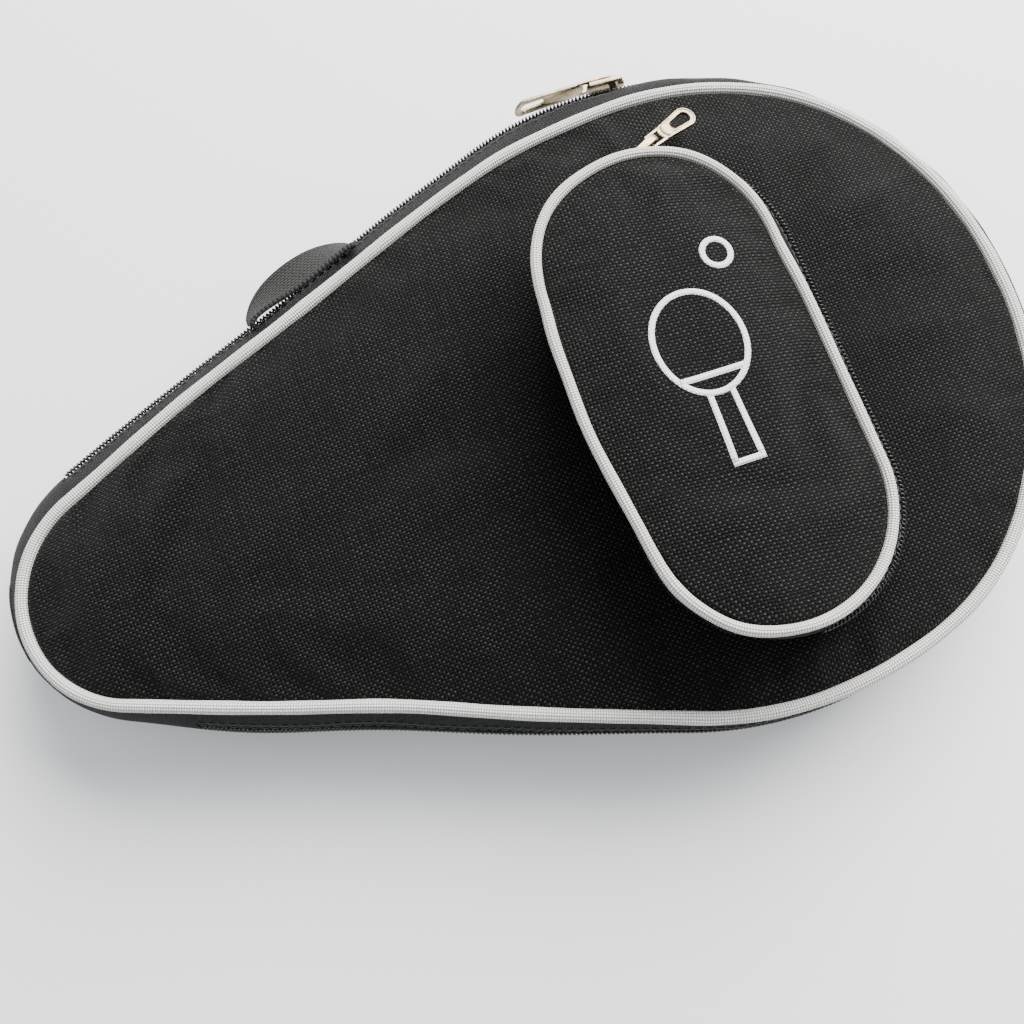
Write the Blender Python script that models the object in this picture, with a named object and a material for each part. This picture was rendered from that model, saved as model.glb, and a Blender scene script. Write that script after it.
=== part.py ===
"""Zipped case for a table-tennis paddle, with a ball pocket on its front.

The case lies on its back. +Z is up through the front panel and the pocket,
+X points to the wide blade end and +Y to the side with the webbing loop.
The plan outline is two circles, one round the blade and one round the
handle, joined by two sides. All driving sizes are in millimetres.
"""
from math import acos, atan2, cos, exp, hypot, pi, radians, sin

import bmesh
import bpy
from mathutils import Matrix, Vector

MM = 0.001
GAP = 0.3

# Place of the blade circle's centre, so that the case is centred on the origin.
CASE_X = 54.2
CASE_Y = -6.39

# Seam line: the middle of the white piping, front and back.
BLADE_R = 95.6
HANDLE_R = 33.1
HANDLE_X = -170.6
# Slack in an outline: side (+1 loop side, -1 other), x, width, outward move.
SEAM_WAVES = (
    (1, -8.0, 34.0, -4.2),
    (1, -142.0, 32.0, 1.6),
    (1, 69.0, 26.0, 2.3),
    (-1, -112.0, 24.0, -1.5),
    (-1, 55.0, 27.0, 2.5),
)
WAVE_FADE = 30.0

# Zip line: where the two halves of the case meet, half way up the side wall.
ZIP_BLADE = (0.2, 4.6)
ZIP_BLADE_R = 103.3
ZIP_HANDLE = (-172.2, 6.0)
ZIP_HANDLE_R = 41.0
ZIP_WAVES = (
    (1, -158.0, 45.0, 1.3),
    (1, -70.0, 28.0, 1.4),
    (-1, -155.0, 30.0, 3.4),
    (-1, -85.0, 38.0, 2.2),
)

BLADE_STEPS = 36
SIDE_STEPS = 8
HANDLE_STEPS = 12
RING = BLADE_STEPS + HANDLE_STEPS + 2 * SIDE_STEPS
HINGE_START = BLADE_STEPS + SIDE_STEPS
HINGE_END = HINGE_START + HANDLE_STEPS + 1

# Heights above the table.
BACK_SEAM_Z = 4.4
ZIP_Z = 21.5
FRONT_SEAM_Z = 37.4
BACK_FLAT_Z = 0.0
FRONT_CROWN = 5.0
CROWN_REACH = 40.0

# Layers of a panel.
FABRIC = 0.9
FOAM = 3.0
LINING = 0.6
PANEL_INSETS = (2.6, 8.0, 18.0, 31.0)
LINER_INSETS = (4.6, 14.0, 31.0)
BACK_LIFTS = (3.0, 0.4, 0.0, 0.0)
LINER_LIFTS = (2.2, 0.0, 0.0)

PIPING_R = 1.9
GUSSET_T = 1.8
TAPE_T = 0.8
COIL_T = 1.5
ZIP_SLOT = 0.5
BINDING_W = 1.6
BINDING_INSET = 2.6
BINDING_HEIGHT = 4.5
BACK_BINDING_OFF = 4.0
FRONT_BINDING_OFF = 6.0

# Main slider and its pull.
SLIDER_ANGLE = 82.0
SLIDER_LENGTH = 12.0
SLIDER_HALF_W = 4.6
PLATE_T = 0.8
PULL_LENGTH = 28.5
PULL_HALF_W = 3.7
PULL_T = 1.0
PULL_TURN = 5.0
PULL_SETBACK = 2.3
PULL_LIFT = 1.0
PULL_PLATE_FROM = 5.4
PULL_SLOT_FROM = 9.0
PULL_SLOT_TO = 2.2
PULL_SLOT_HALF_W = 1.7
CUT_DEPTH = 3.0
SLIDER_CLEAR = 0.25
SLIDER_INNER = -3.9
INNER_PLATE_HALF_W = 3.0
FLANGE_T = 1.0
POST_FROM = 3.4
POST_TO = 4.6
CROWN_FROM = 1.7
CROWN_TO = 2.5

# Carry loop of webbing on the front gusset.
LOOP_FROM_X = -117.0
LOOP_TO_X = -79.0
LOOP_RISE = 6.0
LOOP_WIDTH = 13.0
LOOP_T = 1.6
LOOP_OFF = 2.4
LOOP_LEAN = 45.0
LOOP_Z = 30.0
LOOP_STEPS = 14
LOOP_SQUARENESS = 0.55

# Ball pocket: circles round its top and bottom ends, from the blade centre.
POCKET_TOP = (-1.6, 26.9)
POCKET_TOP_R = 34.8
POCKET_BOTTOM = (-1.6, -42.4)
POCKET_BOTTOM_R = 34.5
POCKET_LEFT_BOW = 2.6
# Slack in the pocket's seam: x, y, width, outward move.
FACE_WAVES = (
    (-38.0, 16.0, 11.0, 1.2),
    (-36.0, -47.0, 9.0, -0.9),
    (-21.0, -72.0, 9.0, 0.6),
    (-12.0, 59.5, 12.0, -0.8),
    (18.0, 57.0, 11.0, 0.8),
    (32.0, 27.0, 13.0, -1.3),
)
POCKET_BASE_SHIFT = 3.8
POCKET_BASE_GROW = 0.4
POCKET_ZIP_SHIFT = 3.2
POCKET_ZIP_RISE = 0.7
POCKET_ZIP_GROW = 2.1
POCKET_MIDDLE_X = -1.6
FACE_Z = 64.5
FACE_SLOPE = -0.19
POCKET_ZIP_Z = 53.0
POCKET_ZIP_SLOPE = -0.085
FACE_CROWN = 2.2
FACE_INSETS = (2.3, 7.0, 14.0, 24.0)
POCKET_PIPING_R = 1.5
POCKET_WALL_T = 1.1
POCKET_END_STEPS = 14
POCKET_SIDE_STEPS = 5
POCKET_RING = 2 * POCKET_END_STEPS + 2 * POCKET_SIDE_STEPS
POCKET_HINGE_START = 9
POCKET_HINGE_END = POCKET_END_STEPS + POCKET_SIDE_STEPS + 7
FLAP_AXIS_OUT = 2.6

POCKET_SLIDER_ANGLE = 78.0
POCKET_PULL_ANGLE = 24.0
POCKET_PULL_LENGTH = 19.0
POCKET_PULL_HALF_W = 3.4
POCKET_PULL_NECK = 2.4
POCKET_PULL_DROP = 16.0
POCKET_PLATE_FROM = 5.0
POCKET_PULL_HALF_T = 0.55
POCKET_HOLE_FROM = 5.3
POCKET_HOLE_TO = 2.1
POCKET_HOLE_HALF_W = 1.8
POCKET_SLIDER_OUTER = 1.7
POCKET_SLIDER_INNER = -2.8
POCKET_PLATE_T = 0.9
CLASP_OUT = 1.7
CLASP_BACK = 1.4
CLASP_PIN = 3.2

BLACK_FABRIC = ((0.012, 0.012, 0.014), 0.85, 0.0)
BLACK_TAPE = ((0.02, 0.02, 0.023), 0.75, 0.0)
BLACK_FOAM = ((0.05, 0.05, 0.055), 0.9, 0.0)
BLACK_NYLON = ((0.018, 0.018, 0.02), 0.45, 0.0)
WHITE_PIPING = ((0.78, 0.77, 0.73), 0.6, 0.0)
PALE_GOLD = ((0.72, 0.62, 0.42), 0.28, 1.0)


def clear_scene():
    """Start from an empty scene."""
    for old in list(bpy.data.objects):
        bpy.data.objects.remove(old, do_unlink=True)


def finish_material(name, look):
    """Principled material from a colour, a roughness and a metallic value."""
    colour, roughness, metallic = look
    material = bpy.data.materials.new(name + "_finish")
    material.use_nodes = True
    shader = material.node_tree.nodes["Principled BSDF"]
    shader.inputs["Base Color"].default_value = (*colour, 1.0)
    shader.inputs["Roughness"].default_value = roughness
    shader.inputs["Metallic"].default_value = metallic
    material.diffuse_color = (*colour, 1.0)
    return material


def add_empty(name, place, parent=None):
    """Empty at a place given in millimetres in its parent's frame."""
    empty = bpy.data.objects.new(name, None)
    bpy.context.scene.collection.objects.link(empty)
    empty.parent = parent
    empty.location = Vector(place) * MM
    return empty


def add_part(name, points, faces, look, parent, origin=(0.0, 0.0, 0.0), smooth=False):
    """Closed mesh from points in case millimetres, seen from its own origin."""
    offset = Vector(origin)
    shape = bmesh.new()
    corners = [shape.verts.new((Vector(point) - offset) * MM) for point in points]
    for face in faces:
        shape.faces.new([corners[index] for index in face])
    bmesh.ops.recalc_face_normals(shape, faces=shape.faces)
    mesh = bpy.data.meshes.new(name)
    shape.to_mesh(mesh)
    shape.free()
    if smooth:
        mesh.shade_smooth()
        mesh.set_sharp_from_angle(angle=radians(50.0))
    part = bpy.data.objects.new(name, mesh)
    part.data.materials.append(finish_material(name, look))
    bpy.context.scene.collection.objects.link(part)
    part.parent = parent
    return part


# ---------------------------------------------------------------- outlines

def two_circle_outline(first, first_r, second, second_r, bows, steps):
    """Closed outline, anticlockwise, round two circles and two bowed sides."""
    end_steps, side_steps, second_steps = steps
    run = (first[0] - second[0], first[1] - second[1])
    base = atan2(run[1], run[0])
    spread = acos((second_r - first_r) / hypot(*run))

    def on_circle(centre, radius, angle):
        return Vector((centre[0] + radius * cos(angle), centre[1] + radius * sin(angle)))

    def side(start, end, angle, bow):
        normal = Vector((cos(angle), sin(angle)))
        shares = [step / side_steps for step in range(1, side_steps)]
        return [start.lerp(end, s) + normal * bow * sin(pi * s) ** 2 for s in shares]

    first_arc = [
        on_circle(first, first_r, base - spread + 2.0 * spread * step / end_steps)
        for step in range(end_steps + 1)
    ]
    turn = 2.0 * pi - 2.0 * spread
    second_arc = [
        on_circle(second, second_r, base + spread + turn * step / second_steps)
        for step in range(second_steps + 1)
    ]
    upper = side(first_arc[-1], second_arc[0], base + spread, bows[0])
    lower = side(second_arc[-1], first_arc[0], base - spread, bows[1])
    return first_arc + upper + second_arc + lower


def outward_normals(outline):
    """Unit normals that point out of an anticlockwise outline."""
    count = len(outline)
    normals = []
    for index in range(count):
        run = outline[(index + 1) % count] - outline[index - 1]
        normals.append(Vector((run.y, -run.x)).normalized())
    return normals


def with_slack(outline, waves):
    """Outline moved in or out where the sewn seam is slack."""
    slack = []
    for point, normal in zip(outline, outward_normals(outline)):
        move = 0.0
        for side, middle, width, height in waves:
            if point.y * side > 0.0:
                fade = min(1.0, abs(point.y) / WAVE_FADE)
                move += height * fade * exp(-((point.x - middle) / width) ** 2)
        slack.append(point + normal * move)
    return slack


MAIN_STEPS = (BLADE_STEPS, SIDE_STEPS, HANDLE_STEPS)
SEAM = with_slack(
    two_circle_outline((0.0, 0.0), BLADE_R, (HANDLE_X, 0.0), HANDLE_R, (0.0, 0.0), MAIN_STEPS),
    SEAM_WAVES,
)
ZIP = with_slack(
    two_circle_outline(ZIP_BLADE, ZIP_BLADE_R, ZIP_HANDLE, ZIP_HANDLE_R, (0.0, 0.0), MAIN_STEPS),
    ZIP_WAVES,
)
ZIP_NORMALS = outward_normals(ZIP)


def spine_point(point):
    """Nearest point of the line between the two circle centres."""
    return Vector((min(0.0, max(HANDLE_X, point.x)), 0.0))


def crown_height(inset):
    """Rise of the padded front panel at a distance in from its seam."""
    share = min(inset, CROWN_REACH) / CROWN_REACH
    return FRONT_CROWN * (1.0 - (1.0 - share) ** 2.2)


def panel_top(point):
    """Height of the front panel's outer face under a plan point."""
    spine = spine_point(point)
    reach = (point - spine).length
    if point.x >= 0.0:
        edge = BLADE_R + SEAM_WAVES[0][3] * (point.y > 0.0)
    else:
        edge = BLADE_R - (BLADE_R - HANDLE_R) * point.x / HANDLE_X
    inset = min(max(edge - reach, 0.0), PANEL_INSETS[-1])
    return FRONT_SEAM_Z + crown_height(inset)


# ---------------------------------------------------------------- solids

def placed(point, height):
    """Point in the case frame from a plan point and a height."""
    return (point.x + CASE_X, point.y + CASE_Y, height)


def strip_solid(sections, closed):
    """Points and faces of a solid swept through matching cross-sections."""
    size = len(sections[0])
    points = [corner for section in sections for corner in section]
    faces = []
    spans = len(sections) if closed else len(sections) - 1
    for index in range(spans):
        here = index * size
        there = (index + 1) % len(sections) * size
        for corner in range(size):
            beside = (corner + 1) % size
            faces.append((here + corner, here + beside, there + beside, there + corner))
    if not closed:
        faces.append(tuple(range(size)))
        faces.append(tuple(range(len(points) - size, len(points))))
    return points, faces


def layer_solid(top_rings, bottom_rings):
    """Points and faces of a sheet between two stacks of shrinking rings."""
    count = len(top_rings[0])
    points = [corner for ring in top_rings + bottom_rings for corner in ring]
    faces = []

    def band(outer, inner):
        for index in range(count):
            beside = (index + 1) % count
            faces.append((outer + index, outer + beside, inner + beside, inner + index))

    depth = len(top_rings)
    for level in range(depth - 1):
        band(level * count, (level + 1) * count)
        band((depth + level) * count, (depth + level + 1) * count)
    band(0, depth * count)
    faces.append(tuple(range((depth - 1) * count, depth * count)))
    faces.append(tuple(range((2 * depth - 1) * count, 2 * depth * count)))
    return points, faces


def barrel(level):
    """Share of the bulge reached at a share of the wall's height."""
    return 0.5 * level + 0.5 * sin(0.5 * pi * level)


def case_wall(start, end, levels, depth, thickness, seam_z, zip_z):
    """Part of the case's side wall between two heights, whole or in part."""
    closed = end - start >= RING
    indices = list(range(start, end if closed else end + 1))
    sections = []
    for place, index in enumerate(indices):
        here = index % RING
        seam = SEAM[here]
        zipped = ZIP[here]
        if not closed and place in (0, len(indices) - 1):
            near = (index + 1 if place == 0 else index - 1) % RING
            trim = 0.5 * GAP / (ZIP[near] - zipped).length
            seam = seam.lerp(SEAM[near], trim)
            zipped = zipped.lerp(ZIP[near], trim)
        outer = []
        inner = []
        for level in levels:
            height = seam_z + (zip_z - seam_z) * level
            middle = seam.lerp(zipped, barrel(level))
            outer.append(placed(middle - ZIP_NORMALS[here] * depth, height))
            inner.append(placed(middle - ZIP_NORMALS[here] * (depth + thickness), height))
        sections.append(outer + inner[::-1])
    return strip_solid(sections, closed)


def ring_tube(path, normals, heights, radius, sides=6):
    """Round cord that follows a closed path."""
    sections = []
    for point, normal, height in zip(path, normals, heights):
        section = []
        for side in range(sides):
            turn = 2.0 * pi * (side + 0.5) / sides
            spot = point + normal * radius * cos(turn)
            section.append(placed(spot, height + radius * sin(turn)))
        sections.append(section)
    return strip_solid(sections, True)


def ring_bar(path, normals, inset, width, low, high):
    """Flat tape on edge that follows a closed path."""
    sections = []
    for point, normal in zip(path, normals):
        outer = point - normal * inset
        inner = point - normal * (inset + width)
        section = [placed(outer, low), placed(outer, high)]
        section += [placed(inner, high), placed(inner, low)]
        sections.append(section)
    return strip_solid(sections, True)


def panel_rings(insets, heights):
    """Rings that step in from the seam towards the spine."""
    rings = []
    for inset, height in zip(insets, heights):
        ring = []
        for point in SEAM:
            inward = (spine_point(point) - point).normalized()
            ring.append(placed(point + inward * inset, height))
        rings.append(ring)
    return rings


def panel_layer(insets, heights, thickness):
    """Sheet that hangs below the given heights."""
    top = panel_rings(insets, heights)
    bottom = panel_rings(insets, [height - thickness for height in heights])
    return layer_solid(top, bottom)


def box_solid(low, high, frame):
    """Box between two local corners, placed by a matrix."""
    points = []
    for z in (low[2], high[2]):
        for x, y in ((low[0], low[1]), (high[0], low[1]), (high[0], high[1]), (low[0], high[1])):
            points.append(tuple(frame @ Vector((x, y, z))))
    faces = [(0, 1, 2, 3), (4, 5, 6, 7), (0, 1, 5, 4), (1, 2, 6, 5), (2, 3, 7, 6), (3, 0, 4, 7)]
    return points, faces


def prism_solid(outline, low, high, frame):
    """Flat outline in local x and y, given a height and placed by a matrix."""
    points = [tuple(frame @ Vector((x, y, z))) for z in (low, high) for x, y in outline]
    count = len(outline)
    faces = [tuple(range(count)), tuple(range(count, 2 * count))]
    for index in range(count):
        beside = (index + 1) % count
        faces.append((index, beside, beside + count, index + count))
    return points, faces


def cut_with(part, points, faces):
    """Cut a guide solid out of a part, and apply the cut."""
    guide_mesh = bpy.data.meshes.new("guide")
    shape = bmesh.new()
    corners = [shape.verts.new(Vector(point) * MM) for point in points]
    for face in faces:
        shape.faces.new([corners[index] for index in face])
    bmesh.ops.recalc_face_normals(shape, faces=shape.faces)
    shape.to_mesh(guide_mesh)
    shape.free()
    guide = bpy.data.objects.new(part.name + "_guide", guide_mesh)
    bpy.context.scene.collection.objects.link(guide)
    join_or_cut(part, guide, "DIFFERENCE")


def join_or_cut(part, guide, operation):
    """Apply one exact boolean with a guide, then drop the guide."""
    bpy.context.view_layer.update()
    modifier = part.modifiers.new("boolean", "BOOLEAN")
    modifier.operation = operation
    modifier.solver = "EXACT"
    modifier.object = guide
    bpy.context.view_layer.update()
    evaluated = part.evaluated_get(bpy.context.evaluated_depsgraph_get())
    mesh = bpy.data.meshes.new_from_object(evaluated)
    part.modifiers.remove(modifier)
    old = part.data
    part.data = mesh
    part.data.name = part.name
    bpy.data.meshes.remove(old)
    bpy.data.objects.remove(guide, do_unlink=True)


def union_part(name, solids, look, parent, origin):
    """One body from several overlapping solids."""
    first_points, first_faces = solids[0]
    part = add_part(name, first_points, first_faces, look, None)
    for points, faces in solids[1:]:
        guide = add_part(name + "_guide", points, faces, look, None)
        join_or_cut(part, guide, "UNION")
    part.data.transform(Matrix.Translation(-Vector(origin) * MM))
    part.parent = parent
    return part


# ---------------------------------------------------------------- main case

def build_panels(back, front, lid_axis):
    """Fabric, foam and lining of the two padded panels."""
    flats = [BACK_FLAT_Z + lift + FABRIC for lift in BACK_LIFTS]
    add_part("back_panel", *panel_layer(PANEL_INSETS, flats, FABRIC), BLACK_FABRIC, back)
    liner_flats = [BACK_FLAT_Z + FABRIC + GAP + FOAM + lift for lift in LINER_LIFTS]
    add_part("back_foam", *panel_layer(LINER_INSETS, liner_flats, FOAM), BLACK_FOAM, back)
    lining_flats = [height + GAP + LINING for height in liner_flats]
    add_part("back_lining", *panel_layer(LINER_INSETS, lining_flats, LINING), BLACK_TAPE, back)

    tops = [FRONT_SEAM_Z + crown_height(inset) for inset in PANEL_INSETS]
    add_part("front_panel", *panel_layer(PANEL_INSETS, tops, FABRIC), BLACK_FABRIC, front, lid_axis)
    under = [FRONT_SEAM_Z + crown_height(inset) - FABRIC - 2.0 * GAP for inset in LINER_INSETS]
    add_part("front_foam", *panel_layer(LINER_INSETS, under, FOAM), BLACK_FOAM, front, lid_axis)
    lowest = [height - FOAM - GAP for height in under]
    add_part(
        "front_lining", *panel_layer(LINER_INSETS, lowest, LINING), BLACK_TAPE, front, lid_axis
    )


def build_walls(half, parent, seam_z, origin):
    """Piping, gusset, zip tape, coil, hinge strip and binding of one half."""
    normals = outward_normals(SEAM)
    zip_start = HINGE_END
    zip_end = HINGE_START + RING
    slot = ZIP_SLOT / abs(ZIP_Z - seam_z)
    piping = ring_tube(SEAM, normals, [seam_z] * RING, PIPING_R)
    add_part(half + "_piping", *piping, WHITE_PIPING, parent, origin, smooth=True)
    gusset = case_wall(zip_start, zip_end, (0.17, 0.55), 0.0, GUSSET_T, seam_z, ZIP_Z)
    add_part(half + "_gusset", *gusset, BLACK_FABRIC, parent, origin)
    tape = case_wall(zip_start, zip_end, (0.575, 1.0 - slot), 0.4, TAPE_T, seam_z, ZIP_Z)
    add_part(half + "_zipper_tape", *tape, BLACK_TAPE, parent, origin)
    coil = case_wall(zip_start, zip_end, (0.88, 1.0 - slot), 0.1 - COIL_T, COIL_T, seam_z, ZIP_Z)
    add_part(half + "_zipper_coil", *coil, BLACK_NYLON, parent, origin)
    hinge = case_wall(
        HINGE_START, HINGE_END, (0.17, 0.55, 1.0 - 0.5 * slot), 0.0, GUSSET_T, seam_z, ZIP_Z
    )
    add_part("hinge_gusset_" + half, *hinge, BLACK_FABRIC, parent, origin)
    inward = 1.0 if seam_z < ZIP_Z else -1.0
    off = BACK_BINDING_OFF if seam_z < ZIP_Z else FRONT_BINDING_OFF
    near = seam_z + inward * off
    edges = sorted((near, near + inward * BINDING_HEIGHT))
    binding = ring_bar(SEAM, normals, BINDING_INSET, BINDING_W, *edges)
    add_part(half + "_seam_binding", *binding, BLACK_TAPE, parent, origin)


def slider_frame(origin, outward, along):
    """Matrix whose x runs along the zip, y outward, z to the free side."""
    x_axis = Vector(along).normalized()
    y_axis = Vector(outward).normalized()
    z_axis = x_axis.cross(y_axis)
    frame = Matrix((x_axis, y_axis, z_axis)).transposed().to_4x4()
    frame.translation = Vector(origin)
    return frame


def rounded_bar(length, half_width, start=0.0, steps=5):
    """Outline of a bar with a round far end."""
    points = [(start, -half_width)]
    middle = length - half_width
    for step in range(steps + 1):
        turn = -0.5 * pi + pi * step / steps
        points.append((middle + half_width * cos(turn), half_width * sin(turn)))
    points.append((start, half_width))
    return points


def slot_outline(start, end, half_width, steps=4):
    """Outline of a slot with two round ends."""
    points = []
    for step in range(steps + 1):
        turn = -0.5 * pi + pi * step / steps
        points.append((end - half_width + half_width * cos(turn), half_width * sin(turn)))
    for step in range(steps + 1):
        turn = 0.5 * pi + pi * step / steps
        points.append((start + half_width + half_width * cos(turn), half_width * sin(turn)))
    return points


def build_main_slider(parent):
    """Slider that runs round the blade arc, and its pull."""
    axis = (ZIP_BLADE[0] + CASE_X, ZIP_BLADE[1] + CASE_Y, ZIP_Z)
    arc = add_empty("main_slider_axis", axis, parent)
    angle = radians(SLIDER_ANGLE)
    outward = Vector((cos(angle), sin(angle), 0.0))
    along = Vector((sin(angle), -cos(angle), 0.0))
    seat = Vector(axis) + outward * ZIP_BLADE_R
    frame = slider_frame(seat, outward, along)
    half = 0.5 * SLIDER_LENGTH
    outer = COIL_T + SLIDER_CLEAR
    inner = SLIDER_INNER
    wide = INNER_PLATE_HALF_W
    flange = -SLIDER_HALF_W
    solids = [
        box_solid((-half, outer, flange), (half, outer + PLATE_T, SLIDER_HALF_W), frame),
        box_solid((-half + 1.0, inner - PLATE_T, -wide), (half - 1.0, inner, wide), frame),
        box_solid((1.5, inner - 0.5, -0.2), (4.0, outer + 0.5, 0.2), frame),
        box_solid((-half + 0.5, 0.6, flange), (half - 0.5, outer + 0.5, flange + FLANGE_T), frame),
    ]
    foot = outer + PLATE_T
    for end in (-1.0, 1.0):
        low, high = sorted((end * POST_FROM, end * POST_TO))
        solids.append(box_solid((low, foot - 0.3, -1.2), (high, foot + 2.0, 1.2), frame))
    reach = POST_TO + 0.1
    bridge = box_solid((-reach, foot + CROWN_FROM, -1.3), (reach, foot + CROWN_TO, 1.3), frame)
    solids.append(bridge)
    union_part("main_slider", solids, PALE_GOLD, arc, axis)

    pin = seat + outward * (foot + PULL_LIFT) - along * PULL_SETBACK
    hook = add_empty("main_pull_axis", tuple(pin - Vector(axis)), arc)
    turned = Matrix.Rotation(radians(PULL_TURN), 3, "Z")
    back_along = turned @ (-along)
    pull_frame = slider_frame(pin, turned @ outward, back_along)
    flat = Matrix.Rotation(radians(-90.0), 4, "X")
    bar = rounded_bar(PULL_LENGTH, PULL_HALF_W, PULL_PLATE_FROM)
    solids = [prism_solid(bar, -0.5 * PULL_T, 0.5 * PULL_T, pull_frame @ flat)]
    for end in (-1.0, 1.0):
        low, high = sorted((end * 2.1, end * 3.3))
        solids.append(box_solid((-0.5, -0.45, low), (5.8, 0.45, high), pull_frame))
    solids.append(box_solid((-0.4, -0.4, -2.4), (0.4, 0.4, 2.4), pull_frame))
    pull = union_part("main_pull", solids, PALE_GOLD, None, (0.0, 0.0, 0.0))
    hole = slot_outline(PULL_LENGTH - PULL_SLOT_FROM, PULL_LENGTH - PULL_SLOT_TO, PULL_SLOT_HALF_W)
    cut_with(pull, *prism_solid(hole, -CUT_DEPTH, CUT_DEPTH, pull_frame @ flat))
    pull.data.transform(Matrix.Translation(-pin * MM))
    pull.parent = hook
    return pin


def wall_place(x, height):
    """Point of the outer wall on the loop side at a plan x and a height."""
    level = (height - FRONT_SEAM_Z) / (ZIP_Z - FRONT_SEAM_Z)
    for index in range(BLADE_STEPS // 2, HINGE_START):
        here = SEAM[index].lerp(ZIP[index], barrel(level))
        beyond = SEAM[index + 1].lerp(ZIP[index + 1], barrel(level))
        if beyond.x <= x <= here.x:
            return here.lerp(beyond, (here.x - x) / (here.x - beyond.x))
    raise ValueError("no wall at that place")


def build_loop(front, lid_axis):
    """Webbing carry loop, sewn at both ends, on the line between its ends."""
    holder = add_empty("loop_holder", tuple(-Vector(lid_axis)), front)
    first = Vector(placed(wall_place(LOOP_FROM_X, LOOP_Z), LOOP_Z))
    last = Vector(placed(wall_place(LOOP_TO_X, LOOP_Z), LOOP_Z))
    run = (last - first).normalized()
    level_out = Vector((-run.y, run.x, 0.0))
    lean = radians(LOOP_LEAN)
    rise = level_out * cos(lean) + Vector((0.0, 0.0, sin(lean)))
    across = run.cross(rise)
    chord = (last - first).length
    pivot = add_empty("webbing_loop_axis", tuple(first + level_out * LOOP_OFF), holder)
    sections = []
    for step in range(LOOP_STEPS + 1):
        share = step / LOOP_STEPS
        arch = sin(pi * share) ** LOOP_SQUARENESS
        slope_share = min(max(share, 0.02), 0.98)
        before = sin(pi * (slope_share - 0.01)) ** LOOP_SQUARENESS
        after = sin(pi * (slope_share + 0.01)) ** LOOP_SQUARENESS
        tangent = (run * chord * 0.02 + rise * LOOP_RISE * (after - before)).normalized()
        normal = tangent.cross(across)
        middle = first + level_out * LOOP_OFF + run * chord * share + rise * LOOP_RISE * arch
        section = []
        for side, deep in ((-0.5, 0.5), (0.5, 0.5), (0.5, -0.5), (-0.5, -0.5)):
            corner = middle + across * side * LOOP_WIDTH + normal * deep * LOOP_T
            section.append(tuple(corner))
        sections.append(section)
    origin = tuple(first + level_out * LOOP_OFF)
    add_part("webbing_loop", *strip_solid(sections, False), BLACK_TAPE, pivot, origin)
    return first + level_out * LOOP_OFF, run


# ---------------------------------------------------------------- ball pocket

def pocket_outline(shift, rise, grow, left_bow):
    """Pocket outline moved away from its hinge side and grown all round."""
    top = (POCKET_TOP[0] + shift, POCKET_TOP[1] + rise)
    bottom = (POCKET_BOTTOM[0] + shift, POCKET_BOTTOM[1])
    return two_circle_outline(
        top, POCKET_TOP_R + grow, bottom, POCKET_BOTTOM_R + grow, (left_bow, 0.0),
        (POCKET_END_STEPS, POCKET_SIDE_STEPS, POCKET_END_STEPS),
    )


def face_outline():
    """Middle of the pocket's piping, with the slack of its seam."""
    plain = pocket_outline(0.0, 0.0, 0.0, POCKET_LEFT_BOW)
    slack = []
    for point, normal in zip(plain, outward_normals(plain)):
        move = 0.0
        for x, y, width, height in FACE_WAVES:
            move += height * exp(-((point - Vector((x, y))).length / width) ** 2)
        slack.append(point + normal * move)
    return slack


FACE_LINE = face_outline()
POCKET_ZIP = pocket_outline(POCKET_ZIP_SHIFT, POCKET_ZIP_RISE, POCKET_ZIP_GROW, 0.0)
POCKET_BASE = pocket_outline(POCKET_BASE_SHIFT, 0.0, POCKET_BASE_GROW, 0.0)
POCKET_NORMALS = outward_normals(POCKET_ZIP)


def face_height(point):
    """Height of the tilted plane that the pocket's piping lies in."""
    return FACE_Z + FACE_SLOPE * (point.x - POCKET_MIDDLE_X)


def pocket_zip_height(point):
    """Height of the tilted plane that the pocket's zip lies in."""
    return POCKET_ZIP_Z + POCKET_ZIP_SLOPE * (point.x - POCKET_MIDDLE_X)


def pocket_wall(start, end, levels, depth, thickness, upper):
    """Part of the pocket's wall, below or above its zip line."""
    closed = end - start >= POCKET_RING
    indices = list(range(start, end if closed else end + 1))
    sections = []
    for place, index in enumerate(indices):
        here = index % POCKET_RING
        edge_line = FACE_LINE if upper else POCKET_BASE
        edge = edge_line[here]
        zipped = POCKET_ZIP[here]
        if place in (0, len(indices) - 1):
            near = (index + 1 if place == 0 else index - 1) % POCKET_RING
            trim = 0.5 * GAP / (POCKET_ZIP[near] - zipped).length
            edge = edge.lerp(edge_line[near], trim)
            zipped = zipped.lerp(POCKET_ZIP[near], trim)
        edge_z = face_height(edge) - POCKET_PIPING_R - GAP if upper else panel_top(edge) + 0.7
        zip_z = pocket_zip_height(zipped) + (0.45 if upper else -0.45)
        outer = []
        inner = []
        for level in levels:
            height = edge_z + (zip_z - edge_z) * level
            middle = edge.lerp(zipped, barrel(level))
            outer.append(placed(middle - POCKET_NORMALS[here] * depth, height))
            inner.append(placed(middle - POCKET_NORMALS[here] * (depth + thickness), height))
        sections.append(outer + inner[::-1])
    return strip_solid(sections, closed)


def face_rings(insets, lifts):
    """Rings that step in across the tilted pocket face."""
    rings = []
    for inset, lift in zip(insets, lifts):
        ring = []
        for point in FACE_LINE:
            low = min(POCKET_TOP[1], max(POCKET_BOTTOM[1], point.y))
            share = (low - POCKET_BOTTOM[1]) / (POCKET_TOP[1] - POCKET_BOTTOM[1])
            spine = Vector((POCKET_BOTTOM[0] + share * (POCKET_TOP[0] - POCKET_BOTTOM[0]), low))
            stepped = point + (spine - point).normalized() * inset
            ring.append(placed(stepped, face_height(stepped) + lift))
        rings.append(ring)
    return rings


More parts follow.
